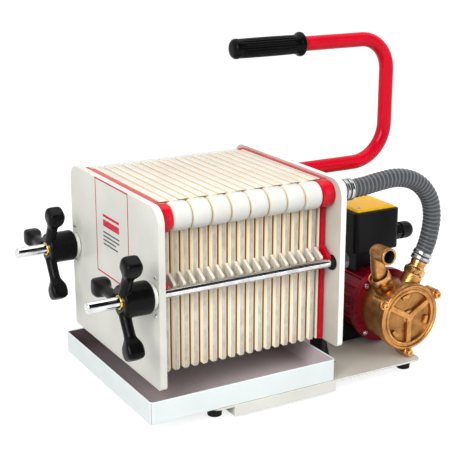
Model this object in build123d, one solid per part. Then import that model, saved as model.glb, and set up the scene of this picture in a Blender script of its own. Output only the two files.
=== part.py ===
from build123d import *
from math import cos, radians, sin, tan
import os

# Bench plate filter press with its own electric pump. Sizes are in millimetres.
# X runs along the press from the clamping knobs (-X) to the pump (+X), Z is up from the
# ground, Y = 0 is the middle of the filter plates and X = 0 lies just before the pressure plate.
# main() moves every piece to a frame whose origin is the middle of the machine's footprint.

# Running and seating clearances
SEAT_GAP = 0.3
SHEET_GAP = 0.05
RUNNING_GAP = 0.05
ROD_HOLE_GAP = 1.0
CUT_PAST = 1.0

# Filter pack
FILTER_PLATES = 17
PLATE_THICK = 12.7
SHEET_THICK = 2.4
SHEET_SIZE = 200.0
SIDE_BORDER = 13.5
END_BORDER = 24.5
PACK_BOTTOM = 79.0
PLATE_EDGE_CHAMFER = 3.2
HEAD_THICK = 11.0
REAR_HEAD_THICK = 9.0
SPACER_THICK = 3.0

# Channel eyes, the thick round corners that join into the two liquid channels
EYE_OUT = 6.9
EYE_DROP = 20.0
EYE_RADIUS = 20.2
EYE_BORE_RADIUS = 8.0
EYE_END_GAP = 0.6
EYE_CROWN = 4.0
EYE_NOTCH_GAP = 1.5

# Lugs by which each plate hangs on the two tie rods
LUG_THICK = 6.5
LUG_ARM = 15.0
LUG_WALL = 2.5
LUG_ROOT_RISE = 20.0
LUG_ROOT_DEPTH = 1.0
LUG_TIP = 3.0
LUG_HEEL_DROP = 1.5
RED_LUG_ROOT_RISE = 24.0
RED_LUG_THICK = 5.0

# Tie rods
ROD_OUT = 21.2
ROD_RISE = 1.8
ROD_RADIUS = 6.5
THREAD_RADIUS = 8.0
ROD_OVERHANG = 96.7
THREAD_END_X = 10.0
ROD_TIP_CHAMFER = 2.0
BUSH_RADIUS = 11.5
ROD_NUT_RADIUS = 14.0
ROD_NUT_THICK = 12.0

# Sliding front pressure plate
FRONT_FACE_X = 2.0
FRONT_THICK = 10.0
FRONT_SIDE = 17.0
FRONT_BELOW = 9.0
FRONT_ABOVE = 2.0
FRONT_TOP_CORNER = 24.0
FRONT_LOW_CORNER = 6.0
SCREW_RADIUS = 3.4
SCREW_HEAD = 2.2
SCREW_RISE = 27.5
SCREW_INSET = 10.7

# Fixed rear plate
REAR_THICK = 9.0
REAR_SIDE = 19.3
REAR_BELOW = 2.5
REAR_ABOVE = 4.0
REAR_TOP_CORNER = 26.0
REAR_LOW_CORNER = 6.0

# Three armed clamping knobs
KNOB_STANDOFF = 1.0
KNOB_HUB_RADIUS = 23.5
KNOB_HUB_LENGTH = 50.0
KNOB_BASE_RADIUS = 19.0
KNOB_BASE_LENGTH = 7.0
KNOB_ARM_RADIUS = 8.0
KNOB_ARM_SETBACK = 3.5
KNOB_LOBE_REACH = 80.0
KNOB_LOBE_WIDTH = 25.0
KNOB_LOBE_LENGTH = 20.0
KNOB_LOBE_NECK = 12.0
KNOB_LOBE_ROUNDING = 4.5
INSERT_RADIUS = 13.0
INSERT_PROUD = 5.0

# Base and its feet
BASE_TOP = 24.0
BASE_SHEET = 3.0
BASE_FRONT_X = 84.0
BASE_PAST_PUMP = 16.0
BASE_HALF_WIDTH = 154.0
BASE_CORNER = 12.0
CHASSIS_SETBACK = 34.0
CHASSIS_LENGTH = 176.0
CHASSIS_BOTTOM = 5.6
FOOT_RADIUS = 11.0
FOOT_FRONT_INSET = 18.0
FOOT_REAR_INSET = 12.0
FOOT_SIDE_INSET = 32.0

# Drip tray
TRAY_AHEAD = 15.6
TRAY_REAR_INSET = 10.5
TRAY_DEPTH = 33.5
TRAY_WALL = 2.5
TRAY_CORNER = 7.0

# Brackets that stand the rear plate on the base
BRACKET_Y = 84.0
BRACKET_WIDTH = 34.0
BRACKET_THICK = 5.0
BRACKET_HEIGHT = 96.0
BRACKET_FOOT = 52.0

# Carrying handle
HANDLE_RADIUS = 11.3
HANDLE_WALL = 2.0
HANDLE_DROP = 18.5
HANDLE_RISE = 194.5
HANDLE_REACH = 179.9
HANDLE_LOW_BEND = 60.0
HANDLE_TOP_BEND = 50.0
HANDLE_COLLAR_RADIUS = 17.0
HANDLE_COLLAR_THICK = 6.0
GRIP_LENGTH = 122.0
GRIP_REACH = 18.9
GRIP_RADIUS = 14.8
GRIP_NOSE_FILLET = 6.0
GRIP_FLANGE_RADIUS = 18.5
GRIP_FLANGE_THICK = 7.0
GRIP_FLANGE_FILLET = 2.3
HANDLE_END_IN_GRIP = 14.0

# Pump, whose shaft runs along Y
PUMP_SETBACK = 138.9
PUMP_RISE = 67.0
PUMP_SIDE_INSET = 14.0
COVER_RADIUS = 54.0
COVER_THICK = 9.0
COVER_RIM = 8.0
COVER_RECESS = 4.0
COVER_HUB_RADIUS = 13.0
COVER_SPOKE = 9.0
SPOKE_ROOT = 1.0
BOLT_ANGLES = (30, 150, 270)
BOLT_CIRCLE = 58.5
BOLT_EAR_RADIUS = 8.0
BOLT_RADIUS = 4.0
BOLT_HEAD_RADIUS = 6.0
BOLT_HEAD_THICK = 5.0
BODY_RADIUS = 49.0
BODY_LENGTH = 56.0
BODY_FLANGE_THICK = 8.0
BODY_EAR_THICK = 16.0
CHAMBER_RADIUS = 36.0
CHAMBER_DEPTH = 40.0
PORT_ANGLE = 28.5
INLET_PORT_ANGLE = 30.0
PORT_SETBACK = 36.0
PORT_BOSS_RADIUS = 16.0
PORT_BOSS_REACH = 62.0
PORT_BORE_RADIUS = 8.5

# Fittings on the two pump ports
UNION_RADIUS = 17.5
UNION_LENGTH = 14.0
NOZZLE_RADIUS = 13.0
NOZZLE_LENGTH = 11.0
ELBOW_KNEE = 6.0
ELBOW_RISE = 33.0
ELBOW_RADIUS = 13.0
ELBOW_REACH = 30.0
ELBOW_LIP_RADIUS = 14.0
ELBOW_LIP = 6.0
ELBOW_BORE_RADIUS = 10.0
ELBOW_BORE_DEPTH = 28.0

# Hose from the near channel to the pump, between its first and its last run
HOSE_RADIUS = 14.4
HOSE_ROUTE = [
    (385.0, -119.4, 313.0),
    (425.0, -117.6, 315.0),
    (464.0, -114.0, 302.0),
    (492.0, -111.5, 274.0),
    (501.0, -109.5, 240.0),
    (499.5, -106.5, 210.0),
]
HOSE_FIRST_RUN = 33.3
HOSE_LAST_RUN = 26.0
HOSE_ARC_SHARE = 0.45
CLAMP_GAP = 0.2
CLAMP_THICK = 2.6
CLAMP_WIDTH = 6.0
CLAMP_INSET = 1.5
CLAMP_PITCH = 8.0
COLLAR_RADIUS = 17.3
COLLAR_THICK = 13.6
COLLAR_HEX_RADIUS = 20.0
COLLAR_HEX_THICK = 6.0

# Outlet on the far channel
OUTLET_TAIL_RADIUS = 10.0
OUTLET_TAIL_LENGTH = 30.0
OUTLET_BORE_RADIUS = 7.0

# Motor behind the pump
MOTOR_RADIUS = 57.0
MOTOR_LENGTH = 150.0
MOTOR_FLANGE_RADIUS = 61.0
MOTOR_FLANGE_THICK = 12.0
MOTOR_FIN_HEIGHT = 5.0
MOTOR_FIN_THICK = 3.0
MOTOR_FIN_COUNT = 20
FAN_COVER_LENGTH = 34.0
FAN_COVER_RADIUS = 60.0
FAN_COVER_FILLET = 8.0
MOTOR_FOOT_WIDTH = 76.0
MOTOR_FOOT_LENGTH = 60.0
MOTOR_FOOT_HEIGHT = 44.0
MOTOR_FOOT_SHIFT = 20.0
MOTOR_FOOT_SETBACK = 70.0

# Electrical box on the motor
BOX_LENGTH = 86.0
BOX_DEPTH = 90.0
BOX_RISE = 84.0
BOX_HEIGHT = 66.0
BOX_SETBACK = 71.0
BOX_CORNER = 8.0
BOX_NECK_LENGTH = 60.0
BOX_NECK_DEPTH = 60.0
BOX_NECK_RISE = 24.0
LID_THICK = 5.0
LID_INSET = 6.0
LID_CHAMFER = 3.0
GLAND_RADIUS = 14.0
GLAND_NUT_LENGTH = 16.0
GLAND_LENGTH = 36.0
GLAND_NUT_RADIUS = 12.0
GLAND_END_FILLET = 4.5
GLAND_DROP = 45.0
GLAND_SIDE_SHIFT = 26.0

# Lengths and places that follow from the sizes above
PITCH = PLATE_THICK + SHEET_THICK
PACK_HALF_WIDTH = SHEET_SIZE / 2 + SIDE_BORDER
PACK_TOP = PACK_BOTTOM + SHEET_SIZE + 2 * END_BORDER
PACK_MIDDLE_Z = (PACK_BOTTOM + PACK_TOP) / 2
HEAD_FRONT_X = FRONT_FACE_X + FRONT_THICK
PACK_FRONT_X = HEAD_FRONT_X + HEAD_THICK
PACK_REAR_X = PACK_FRONT_X + FILTER_PLATES * PITCH + SHEET_THICK
REAR_HEAD_X = PACK_REAR_X + SPACER_THICK
REAR_FRONT_X = REAR_HEAD_X + REAR_HEAD_THICK
REAR_BACK_X = REAR_FRONT_X + REAR_THICK
EYE_Y = PACK_HALF_WIDTH + EYE_OUT
EYE_Z = PACK_TOP - EYE_DROP
ROD_Y = PACK_HALF_WIDTH + ROD_OUT
ROD_Z = PACK_MIDDLE_Z + ROD_RISE
BUSH_THICK = REAR_HEAD_THICK - RED_LUG_THICK - SEAT_GAP
FRONT_HALF_WIDTH = ROD_Y + FRONT_SIDE
FRONT_BOTTOM = PACK_BOTTOM - FRONT_BELOW
FRONT_TOP = PACK_TOP + FRONT_ABOVE
REAR_HALF_WIDTH = ROD_Y + REAR_SIDE
REAR_BOTTOM = PACK_BOTTOM - REAR_BELOW
REAR_TOP = PACK_TOP + REAR_ABOVE
TRAY_FRONT_X = -TRAY_AHEAD
TRAY_REAR_X = REAR_BACK_X - TRAY_REAR_INSET
TRAY_BOTTOM = BASE_TOP + SEAT_GAP
TRAY_TOP = TRAY_BOTTOM + TRAY_DEPTH
HANDLE_LOW_Z = REAR_TOP - HANDLE_DROP
HANDLE_TOP_Z = HANDLE_LOW_Z + HANDLE_RISE
HANDLE_BACK_X = REAR_BACK_X + HANDLE_REACH
GRIP_REAR_X = REAR_BACK_X + GRIP_REACH
GRIP_FRONT_X = GRIP_REAR_X - GRIP_LENGTH
PUMP_X = REAR_BACK_X + PUMP_SETBACK
PUMP_Z = BASE_TOP + PUMP_RISE
PUMP_FRONT_Y = PUMP_SIDE_INSET - BASE_HALF_WIDTH
PUMP_BACK_Y = PUMP_FRONT_Y + COVER_THICK + BODY_LENGTH
PORT_Y = PUMP_FRONT_Y + PORT_SETBACK
MOTOR_BACK_Y = PUMP_BACK_Y + MOTOR_LENGTH
BASE_REAR_X = PUMP_X + BASE_PAST_PUMP
CHASSIS_FRONT_X = BASE_FRONT_X + CHASSIS_SETBACK
CHASSIS_REAR_X = CHASSIS_FRONT_X + CHASSIS_LENGTH
BOX_BOTTOM = PUMP_Z + BOX_RISE
BOX_TOP = BOX_BOTTOM + BOX_HEIGHT
BOX_Y = PUMP_BACK_Y + BOX_SETBACK


def box_between(low, high):
    """Box from its lowest to its highest corner."""
    size = [b - a for a, b in zip(low, high)]
    middle = [(a + b) / 2 for a, b in zip(low, high)]
    return Pos(*middle) * Box(*size)


def round_x(x0, x1, y, z, radius):
    """Cylinder along X from x0 to x1."""
    return Pos((x0 + x1) / 2, y, z) * Rot(0, 90, 0) * Cylinder(radius, x1 - x0)


def round_y(y0, y1, x, z, radius):
    """Cylinder along Y from y0 to y1."""
    return Pos(x, (y0 + y1) / 2, z) * Rot(90, 0, 0) * Cylinder(radius, y1 - y0)


def round_z(z0, z1, x, y, radius):
    """Upright cylinder from z0 to z1."""
    return Pos(x, y, (z0 + z1) / 2) * Cylinder(radius, z1 - z0)


def slab_x(x0, thick, half_width, bottom, top, top_corner, low_corner):
    """Upright plate across the press with rounded corners."""
    plate = box_between((x0, -half_width, bottom), (x0 + thick, half_width, top))
    along_x = plate.edges().filter_by(Axis.X)
    upper = along_x.filter_by(lambda e: e.center().Z > (bottom + top) / 2)
    plate = fillet(upper, top_corner)
    along_x = plate.edges().filter_by(Axis.X)
    lower = along_x.filter_by(lambda e: e.center().Z < (bottom + top) / 2).group_by(Axis.Z)[0]
    return fillet(lower, low_corner)


def both_sides(make):
    """The same feature on the near side (-Y) and the far side (+Y)."""
    near = make()
    return near + mirror(near, about=Plane.XZ)


def prism_x(points, x0, x1):
    """Closed outline of (y, z) points drawn out from x0 to x1."""
    face = make_face(Polyline(*[(x0, y, z) for y, z in points], close=True))
    return extrude(face, amount=x1 - x0, dir=(1, 0, 0))


def lug(x0, x1, rod_radius, root_rise, tip):
    """Short arm from the plate's near side that rests on the tie rod. Tip is how far short of
    the rod's middle it ends."""
    saddle = rod_radius + SEAT_GAP
    inner = ROD_Y - saddle
    crown = ROD_Z + saddle + LUG_WALL
    root = PACK_HALF_WIDTH - LUG_ROOT_DEPTH
    outline = [
        (-root, ROD_Z + root_rise),
        (-PACK_HALF_WIDTH, ROD_Z + root_rise),
        (-ROD_Y + tip, crown),
        (-ROD_Y + tip, ROD_Z + LUG_WALL),
        (-ROD_Y + LUG_TIP, ROD_Z),
        (-inner + LUG_ROOT_DEPTH, ROD_Z - LUG_HEEL_DROP),
        (-PACK_HALF_WIDTH, ROD_Z + root_rise - LUG_ARM),
        (-root, ROD_Z + root_rise - LUG_ARM),
    ]
    hook = prism_x(outline, x0, x1)
    return hook - round_x(x0 - CUT_PAST, x1 + CUT_PAST, -ROD_Y, ROD_Z, saddle)


def eye(x0, x1, side):
    """Barrel shaped channel eye on one top corner, from x0 to x1."""
    length = x1 - x0
    ring = round_x(x0, x1, side * EYE_Y, EYE_Z, EYE_RADIUS)
    ends = ring.edges().filter_by(GeomType.CIRCLE)
    return chamfer(ends, min(EYE_CROWN, length / 4), EYE_CROWN / 2)


def plate_blank(x0, thick):
    """Square plate with chamfered side edges."""
    plate = box_between(
        (x0, -PACK_HALF_WIDTH, PACK_BOTTOM), (x0 + thick, PACK_HALF_WIDTH, PACK_TOP)
    )
    upright = plate.edges().filter_by(Axis.Z)
    return chamfer(upright, min(PLATE_EDGE_CHAMFER, thick / 3))


def eye_notch(x0, x1, side):
    """Round cut that clears the neighbouring plate's eye."""
    return round_x(
        x0 - CUT_PAST, x1 + CUT_PAST, side * EYE_Y, EYE_Z, EYE_RADIUS + EYE_NOTCH_GAP
    )


def eye_bore(side):
    """Liquid channel through one top corner."""
    return round_x(0, REAR_BACK_X, side * EYE_Y, EYE_Z, EYE_BORE_RADIUS)


def filter_plate(index):
    """Recessed filter plate. Odd plates carry the far eye and even ones the near eye."""
    x0 = PACK_FRONT_X + SHEET_THICK + index * PITCH
    x1 = x0 + PLATE_THICK
    middle = (x0 + x1) / 2
    side = 1 if index % 2 == 0 else -1
    eye_low = max(middle - PITCH + EYE_END_GAP / 2, PACK_FRONT_X + EYE_END_GAP / 2)
    eye_high = min(middle + PITCH - EYE_END_GAP / 2, PACK_REAR_X - EYE_END_GAP / 2)
    plate = plate_blank(x0, PLATE_THICK) - eye_notch(x0, x1, -side)
    plate = plate + both_sides(lambda: lug(x1 - LUG_THICK, x1, ROD_RADIUS, LUG_ROOT_RISE, LUG_TIP))
    plate = plate + eye(eye_low, eye_high, side)
    return plate - eye_bore(side)


def head_plate(x0, x1, near_low, near_high, lug_thick, rod_radius):
    """Red end plate with an eye on each top corner and lugs on both rods."""
    plate = plate_blank(x0, x1 - x0)
    plate = plate + both_sides(
        lambda: lug(x0, x0 + lug_thick, rod_radius, RED_LUG_ROOT_RISE, -LUG_TIP)
    )
    plate = plate + eye(near_low, near_high, -1) + eye(x0, x1, 1)
    return plate


def front_red_plate():
    """Front end plate, closed to the liquid."""
    first_eye = PACK_FRONT_X + SHEET_THICK + PLATE_THICK / 2
    near_high = first_eye - EYE_END_GAP / 2
    return head_plate(
        HEAD_FRONT_X, PACK_FRONT_X, HEAD_FRONT_X, near_high, HEAD_THICK, THREAD_RADIUS
    )


def rear_red_plate():
    """Rear end plate, through which both channels leave."""
    last_eye = PACK_REAR_X - SHEET_THICK - PLATE_THICK / 2
    near_low = last_eye + EYE_END_GAP / 2
    plate = head_plate(
        REAR_HEAD_X, REAR_FRONT_X, near_low, REAR_FRONT_X, RED_LUG_THICK, ROD_RADIUS
    )
    return plate - eye_bore(-1) - eye_bore(1)


def end_spacer():
    """Thin cream plate between the last sheet and the red end plate."""
    plate = plate_blank(PACK_REAR_X, SPACER_THICK)
    for side in (-1, 1):
        plate = plate - eye_notch(PACK_REAR_X, REAR_HEAD_X, side)
    return plate


def filter_sheets():
    """Square filter sheets pressed between the plates."""
    half = SHEET_SIZE / 2
    sheets = []
    for index in range(FILTER_PLATES + 1):
        x0 = PACK_FRONT_X + index * PITCH + SHEET_GAP
        x1 = PACK_FRONT_X + index * PITCH + SHEET_THICK - SHEET_GAP
        sheets.append(
            box_between((x0, -half, PACK_MIDDLE_Z - half), (x1, half, PACK_MIDDLE_Z + half))
        )
    return Compound(children=sheets)


def front_pressure_plate():
    """Sliding plate that the knobs push against the pack."""
    plate = slab_x(
        FRONT_FACE_X, FRONT_THICK, FRONT_HALF_WIDTH, FRONT_BOTTOM, FRONT_TOP, FRONT_TOP_CORNER,
        FRONT_LOW_CORNER,
    )
    hole = THREAD_RADIUS + ROD_HOLE_GAP
    return plate - both_sides(
        lambda: round_x(0, HEAD_FRONT_X + CUT_PAST, -ROD_Y, ROD_Z, hole)
    )


def front_plate_screws():
    """Two round headed screws beside each knob."""
    y = FRONT_HALF_WIDTH - SCREW_INSET
    heads = []
    for side in (-1, 1):
        for rise in (-SCREW_RISE, SCREW_RISE):
            z = ROD_Z + rise
            head = round_x(FRONT_FACE_X - SCREW_HEAD, FRONT_FACE_X, side * y, z, SCREW_RADIUS)
            rim = head.edges().filter_by(GeomType.CIRCLE).sort_by(Axis.X)[0]
            heads.append(fillet(rim, SCREW_HEAD / 2))
    return Compound(children=heads)


def rear_plate():
    """Fixed plate that carries rods, handle, hose port and outlet."""
    plate = slab_x(
        REAR_FRONT_X, REAR_THICK, REAR_HALF_WIDTH, REAR_BOTTOM, REAR_TOP, REAR_TOP_CORNER,
        REAR_LOW_CORNER,
    )
    rod_hole = ROD_RADIUS + SEAT_GAP
    plate = plate - both_sides(
        lambda: round_x(
            REAR_FRONT_X - CUT_PAST, REAR_BACK_X + CUT_PAST, -ROD_Y, ROD_Z, rod_hole
        )
    )
    return plate - eye_bore(-1) - eye_bore(1)


def tie_rod(side):
    """Smooth rod with a threaded front end and a threaded nut end behind the rear plate."""
    y = side * ROD_Y
    back = REAR_BACK_X + ROD_NUT_THICK + ROD_TIP_CHAMFER
    rod = round_x(-ROD_OVERHANG, back, y, ROD_Z, ROD_RADIUS)
    thread = round_x(-ROD_OVERHANG, THREAD_END_X, y, ROD_Z, THREAD_RADIUS)
    tip = thread.edges().filter_by(GeomType.CIRCLE).sort_by(Axis.X)[0]
    return rod + chamfer(tip, ROD_TIP_CHAMFER)


def rod_bushes():
    """Black round bush on each rod against the rear plate."""
    ring = round_x(REAR_FRONT_X - BUSH_THICK, REAR_FRONT_X, -ROD_Y, ROD_Z, BUSH_RADIUS)
    ring = ring - round_x(0, REAR_BACK_X, -ROD_Y, ROD_Z, ROD_RADIUS + RUNNING_GAP)
    return both_solids(ring)


def rod_nuts():
    """Hexagon nut on each rod behind the rear plate."""
    hexagon = Plane.YZ.offset(REAR_BACK_X) * Pos(-ROD_Y, ROD_Z) * RegularPolygon(ROD_NUT_RADIUS, 6)
    nut = extrude(hexagon, amount=ROD_NUT_THICK)
    bore_end = REAR_BACK_X + ROD_NUT_THICK + CUT_PAST
    nut = nut - round_x(REAR_BACK_X - CUT_PAST, bore_end, -ROD_Y, ROD_Z, ROD_RADIUS + RUNNING_GAP)
    return both_solids(nut)


def both_solids(near):
    """A near side solid and its mirror image as two separate solids."""
    return Compound(children=[near, mirror(near, about=Plane.XZ)])


def knob_arm(turn, x):
    """One arm with its square lobe, turned about the knob's axis by an angle in degrees."""
    lobe_low = KNOB_LOBE_REACH - KNOB_LOBE_LENGTH
    along = Plane(origin=(0, 0, lobe_low), x_dir=(1, 0, 0), z_dir=(0, 0, 1))
    block = box_between(
        (-KNOB_LOBE_WIDTH / 2, -KNOB_LOBE_WIDTH / 2, lobe_low),
        (KNOB_LOBE_WIDTH / 2, KNOB_LOBE_WIDTH / 2, KNOB_LOBE_REACH),
    )
    outer = block.edges().filter_by(lambda e: e.center().Z > lobe_low + RUNNING_GAP)
    block = fillet(outer, KNOB_LOBE_ROUNDING)
    wide = along * RectangleRounded(KNOB_LOBE_WIDTH, KNOB_LOBE_WIDTH, KNOB_LOBE_ROUNDING)
    neck = along.offset(-KNOB_LOBE_NECK) * Circle(KNOB_ARM_RADIUS)
    arm = round_z(0, lobe_low - KNOB_LOBE_NECK + RUNNING_GAP, 0, 0, KNOB_ARM_RADIUS)
    return Pos(x, 0, 0) * Rot(turn - 90, 0, 0) * (arm + loft([neck, wide]) + block)


def knob(side):
    """Moulded three armed knob around its brass insert."""
    back = FRONT_FACE_X - KNOB_STANDOFF
    front = back - KNOB_HUB_LENGTH
    hub = round_x(front, back - KNOB_BASE_LENGTH, 0, 0, KNOB_HUB_RADIUS)
    body = hub + round_x(front, back, 0, 0, KNOB_BASE_RADIUS)
    arm_x = front + KNOB_ARM_SETBACK
    for turn in (0, 120, 240):
        body = body + knob_arm(turn, arm_x)
    bore_front = arm_x - KNOB_ARM_RADIUS - CUT_PAST
    body = body - round_x(bore_front, back + CUT_PAST, 0, 0, INSERT_RADIUS)
    return Pos(0, side * ROD_Y, ROD_Z) * body


def knob_insert(side):
    """Brass threaded insert that runs on the rod."""
    back = FRONT_FACE_X - KNOB_STANDOFF
    front = back - KNOB_HUB_LENGTH - INSERT_PROUD
    ring = round_x(front, back, side * ROD_Y, ROD_Z, INSERT_RADIUS - RUNNING_GAP)
    bore = round_x(
        front - CUT_PAST, back + CUT_PAST, side * ROD_Y, ROD_Z, THREAD_RADIUS + RUNNING_GAP
    )
    return ring - bore


def base_plate():
    """Sheet base with a folded box under the pack."""
    sheet = box_between(
        (BASE_FRONT_X, -BASE_HALF_WIDTH, BASE_TOP - BASE_SHEET),
        (BASE_REAR_X, BASE_HALF_WIDTH, BASE_TOP),
    )
    sheet = fillet(sheet.edges().filter_by(Axis.Z), BASE_CORNER)
    under = BASE_TOP - BASE_SHEET
    fold = box_between(
        (CHASSIS_FRONT_X, -BASE_HALF_WIDTH, CHASSIS_BOTTOM),
        (CHASSIS_REAR_X, BASE_HALF_WIDTH, under),
    )
    hollow = box_between(
        (CHASSIS_FRONT_X + BASE_SHEET, -BASE_HALF_WIDTH + BASE_SHEET, CHASSIS_BOTTOM - CUT_PAST),
        (CHASSIS_REAR_X - BASE_SHEET, BASE_HALF_WIDTH - BASE_SHEET, under),
    )
    return sheet + (fold - hollow)


def base_feet():
    """Four round rubber feet."""
    feet = []
    foot_y = BASE_HALF_WIDTH - FOOT_SIDE_INSET
    for x in (BASE_FRONT_X + FOOT_FRONT_INSET, BASE_REAR_X - FOOT_REAR_INSET):
        for y in (-foot_y, foot_y):
            feet.append(round_z(0, BASE_TOP - BASE_SHEET, x, y, FOOT_RADIUS))
    return Compound(children=feet)


def drip_tray():
    """Shallow tray that catches drips under the whole pack."""
    half = BASE_HALF_WIDTH
    outer = box_between((TRAY_FRONT_X, -half, TRAY_BOTTOM), (TRAY_REAR_X, half, TRAY_TOP))
    outer = fillet(outer.edges().filter_by(Axis.Z), TRAY_CORNER)
    inner = box_between(
        (TRAY_FRONT_X + TRAY_WALL, -half + TRAY_WALL, TRAY_BOTTOM + TRAY_WALL),
        (TRAY_REAR_X - TRAY_WALL, half - TRAY_WALL, TRAY_TOP + CUT_PAST),
    )
    inner = fillet(inner.edges().filter_by(Axis.Z), TRAY_CORNER - TRAY_WALL)
    return outer - inner


def rear_brackets():
    """Folded angle with a gusset on each side, from the base to the rear plate."""
    y0 = -BRACKET_Y - BRACKET_WIDTH / 2
    y1 = -BRACKET_Y + BRACKET_WIDTH / 2
    x0 = REAR_BACK_X
    upright = box_between((x0, y0, BASE_TOP), (x0 + BRACKET_THICK, y1, BASE_TOP + BRACKET_HEIGHT))
    foot = box_between((x0, y0, BASE_TOP), (x0 + BRACKET_FOOT, y1, BASE_TOP + BRACKET_THICK))
    web_outline = [
        (x0, -BRACKET_Y - BRACKET_THICK / 2, BASE_TOP),
        (x0 + BRACKET_FOOT, -BRACKET_Y - BRACKET_THICK / 2, BASE_TOP),
        (x0, -BRACKET_Y - BRACKET_THICK / 2, BASE_TOP + BRACKET_HEIGHT),
    ]
    web = extrude(make_face(Polyline(*web_outline, close=True)), BRACKET_THICK, dir=(0, 1, 0))
    return both_solids(upright + foot + web)


def handle_path():
    """Centre line of the bent handle tube, from the rear plate to inside the grip."""
    return FilletPolyline(
        (REAR_BACK_X, 0, HANDLE_LOW_Z),
        (HANDLE_BACK_X, 0, HANDLE_LOW_Z),
        (HANDLE_BACK_X, 0, HANDLE_TOP_Z),
        (GRIP_REAR_X - HANDLE_END_IN_GRIP, 0, HANDLE_TOP_Z),
        radius=[HANDLE_LOW_BEND, HANDLE_TOP_BEND],
    )


def carry_handle():
    """Bent steel tube with a welded collar."""
    path = handle_path()
    start = Plane(origin=path @ 0, z_dir=path % 0)
    outside = sweep(start * Circle(HANDLE_RADIUS), path=path)
    bore = sweep(start * Circle(HANDLE_RADIUS - HANDLE_WALL), path=path)
    collar = round_x(
        REAR_BACK_X, REAR_BACK_X + HANDLE_COLLAR_THICK, 0, HANDLE_LOW_Z, HANDLE_COLLAR_RADIUS
    )
    return outside + collar - bore


def handle_grip():
    """Rubber grip pushed over the tube's free end."""
    body = round_x(GRIP_FRONT_X, GRIP_REAR_X, 0, HANDLE_TOP_Z, GRIP_RADIUS)
    nose = body.edges().filter_by(GeomType.CIRCLE).sort_by(Axis.X)[0]
    body = fillet(nose, GRIP_NOSE_FILLET)
    flange = round_x(
        GRIP_REAR_X - GRIP_FLANGE_THICK, GRIP_REAR_X, 0, HANDLE_TOP_Z, GRIP_FLANGE_RADIUS
    )
    flange = fillet(flange.edges().filter_by(GeomType.CIRCLE), GRIP_FLANGE_FILLET)
    tube_end = GRIP_REAR_X - HANDLE_END_IN_GRIP
    bore_end = GRIP_REAR_X + CUT_PAST
    bore = round_x(tube_end, bore_end, 0, HANDLE_TOP_Z, HANDLE_RADIUS + RUNNING_GAP)
    return body + flange - bore


def port_direction(side):
    """Unit direction of a pump port in the XZ plane, +1 towards the hose."""
    turn = radians(PORT_ANGLE if side > 0 else INLET_PORT_ANGLE)
    return side * sin(turn), cos(turn)


def port_round(side, reach0, reach1, radius):
    """Cylinder along a pump port's axis between two distances from the shaft."""
    dx, dz = port_direction(side)
    start = (PUMP_X + dx * reach0, PORT_Y, PUMP_Z + dz * reach0)
    return extrude(Plane(origin=start, z_dir=(dx, 0, dz)) * Circle(radius), reach1 - reach0)


def port_hexagon(side, reach0, reach1, radius):
    """Hexagon along a pump port's axis between two distances from the shaft."""
    dx, dz = port_direction(side)
    start = (PUMP_X + dx * reach0, PORT_Y, PUMP_Z + dz * reach0)
    shape = Plane(origin=start, z_dir=(dx, 0, dz)) * RegularPolygon(radius, 6)
    return extrude(shape, reach1 - reach0)


def bolt_places():
    """Middles of the three cover bolts as (x, z)."""
    places = []
    for turn in BOLT_ANGLES:
        x = PUMP_X + BOLT_CIRCLE * cos(radians(turn))
        z = PUMP_Z + BOLT_CIRCLE * sin(radians(turn))
        places.append((x, z))
    return places


def pump_body():
    """Cast body with two port bosses and three bolt ears."""
    front = PUMP_FRONT_Y + COVER_THICK
    body = round_y(front, PUMP_BACK_Y, PUMP_X, PUMP_Z, BODY_RADIUS)
    body = body + round_y(front, front + BODY_FLANGE_THICK, PUMP_X, PUMP_Z, COVER_RADIUS)
    for x, z in bolt_places():
        body = body + round_y(front, front + BODY_EAR_THICK, x, z, BOLT_EAR_RADIUS)
    for side in (-1, 1):
        body = body + port_round(side, 0, PORT_BOSS_REACH, PORT_BOSS_RADIUS)
    body = body - round_y(
        front - CUT_PAST, front + CHAMBER_DEPTH, PUMP_X, PUMP_Z, CHAMBER_RADIUS
    )
    for side in (-1, 1):
        body = body - port_round(side, 0, PORT_BOSS_REACH + CUT_PAST, PORT_BORE_RADIUS)
    for x, z in bolt_places():
        body = body - round_y(front - CUT_PAST, front + BODY_FLANGE_THICK, x, z, BOLT_RADIUS)
    return body


def pump_cover():
    """Round front cover with a raised rim, a hub and three spokes."""
    back = PUMP_FRONT_Y + COVER_THICK
    cover = round_y(PUMP_FRONT_Y, back, PUMP_X, PUMP_Z, COVER_RADIUS)
    inner = COVER_RADIUS - COVER_RIM
    cut_start = PUMP_FRONT_Y - CUT_PAST
    cover = cover - round_y(cut_start, PUMP_FRONT_Y + COVER_RECESS, PUMP_X, PUMP_Z, inner)
    cover = cover + round_y(PUMP_FRONT_Y, back, PUMP_X, PUMP_Z, COVER_HUB_RADIUS)
    for turn in BOLT_ANGLES:
        spoke = box_between(
            (0, -COVER_SPOKE / 2, 0), (inner + SPOKE_ROOT, COVER_SPOKE / 2, COVER_THICK)
        )
        standing = Pos(PUMP_X, back, PUMP_Z) * Rot(90, 0, 0) * Rot(0, 0, turn)
        cover = cover + standing * spoke
    for x, z in bolt_places():
        cover = cover + round_y(PUMP_FRONT_Y, back, x, z, BOLT_EAR_RADIUS)
    for x, z in bolt_places():
        cover = cover - round_y(cut_start, back + CUT_PAST, x, z, BOLT_RADIUS)
    return cover


def pump_bolts():
    """Three cap screws that hold the cover."""
    seat = PUMP_FRONT_Y
    end = seat + COVER_THICK + BODY_FLANGE_THICK
    bolts = []
    for x, z in bolt_places():
        head = round_y(seat - BOLT_HEAD_THICK, seat, x, z, BOLT_HEAD_RADIUS)
        bolts.append(head + round_y(seat, end, x, z, BOLT_RADIUS - RUNNING_GAP))
    return Compound(children=bolts)


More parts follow.
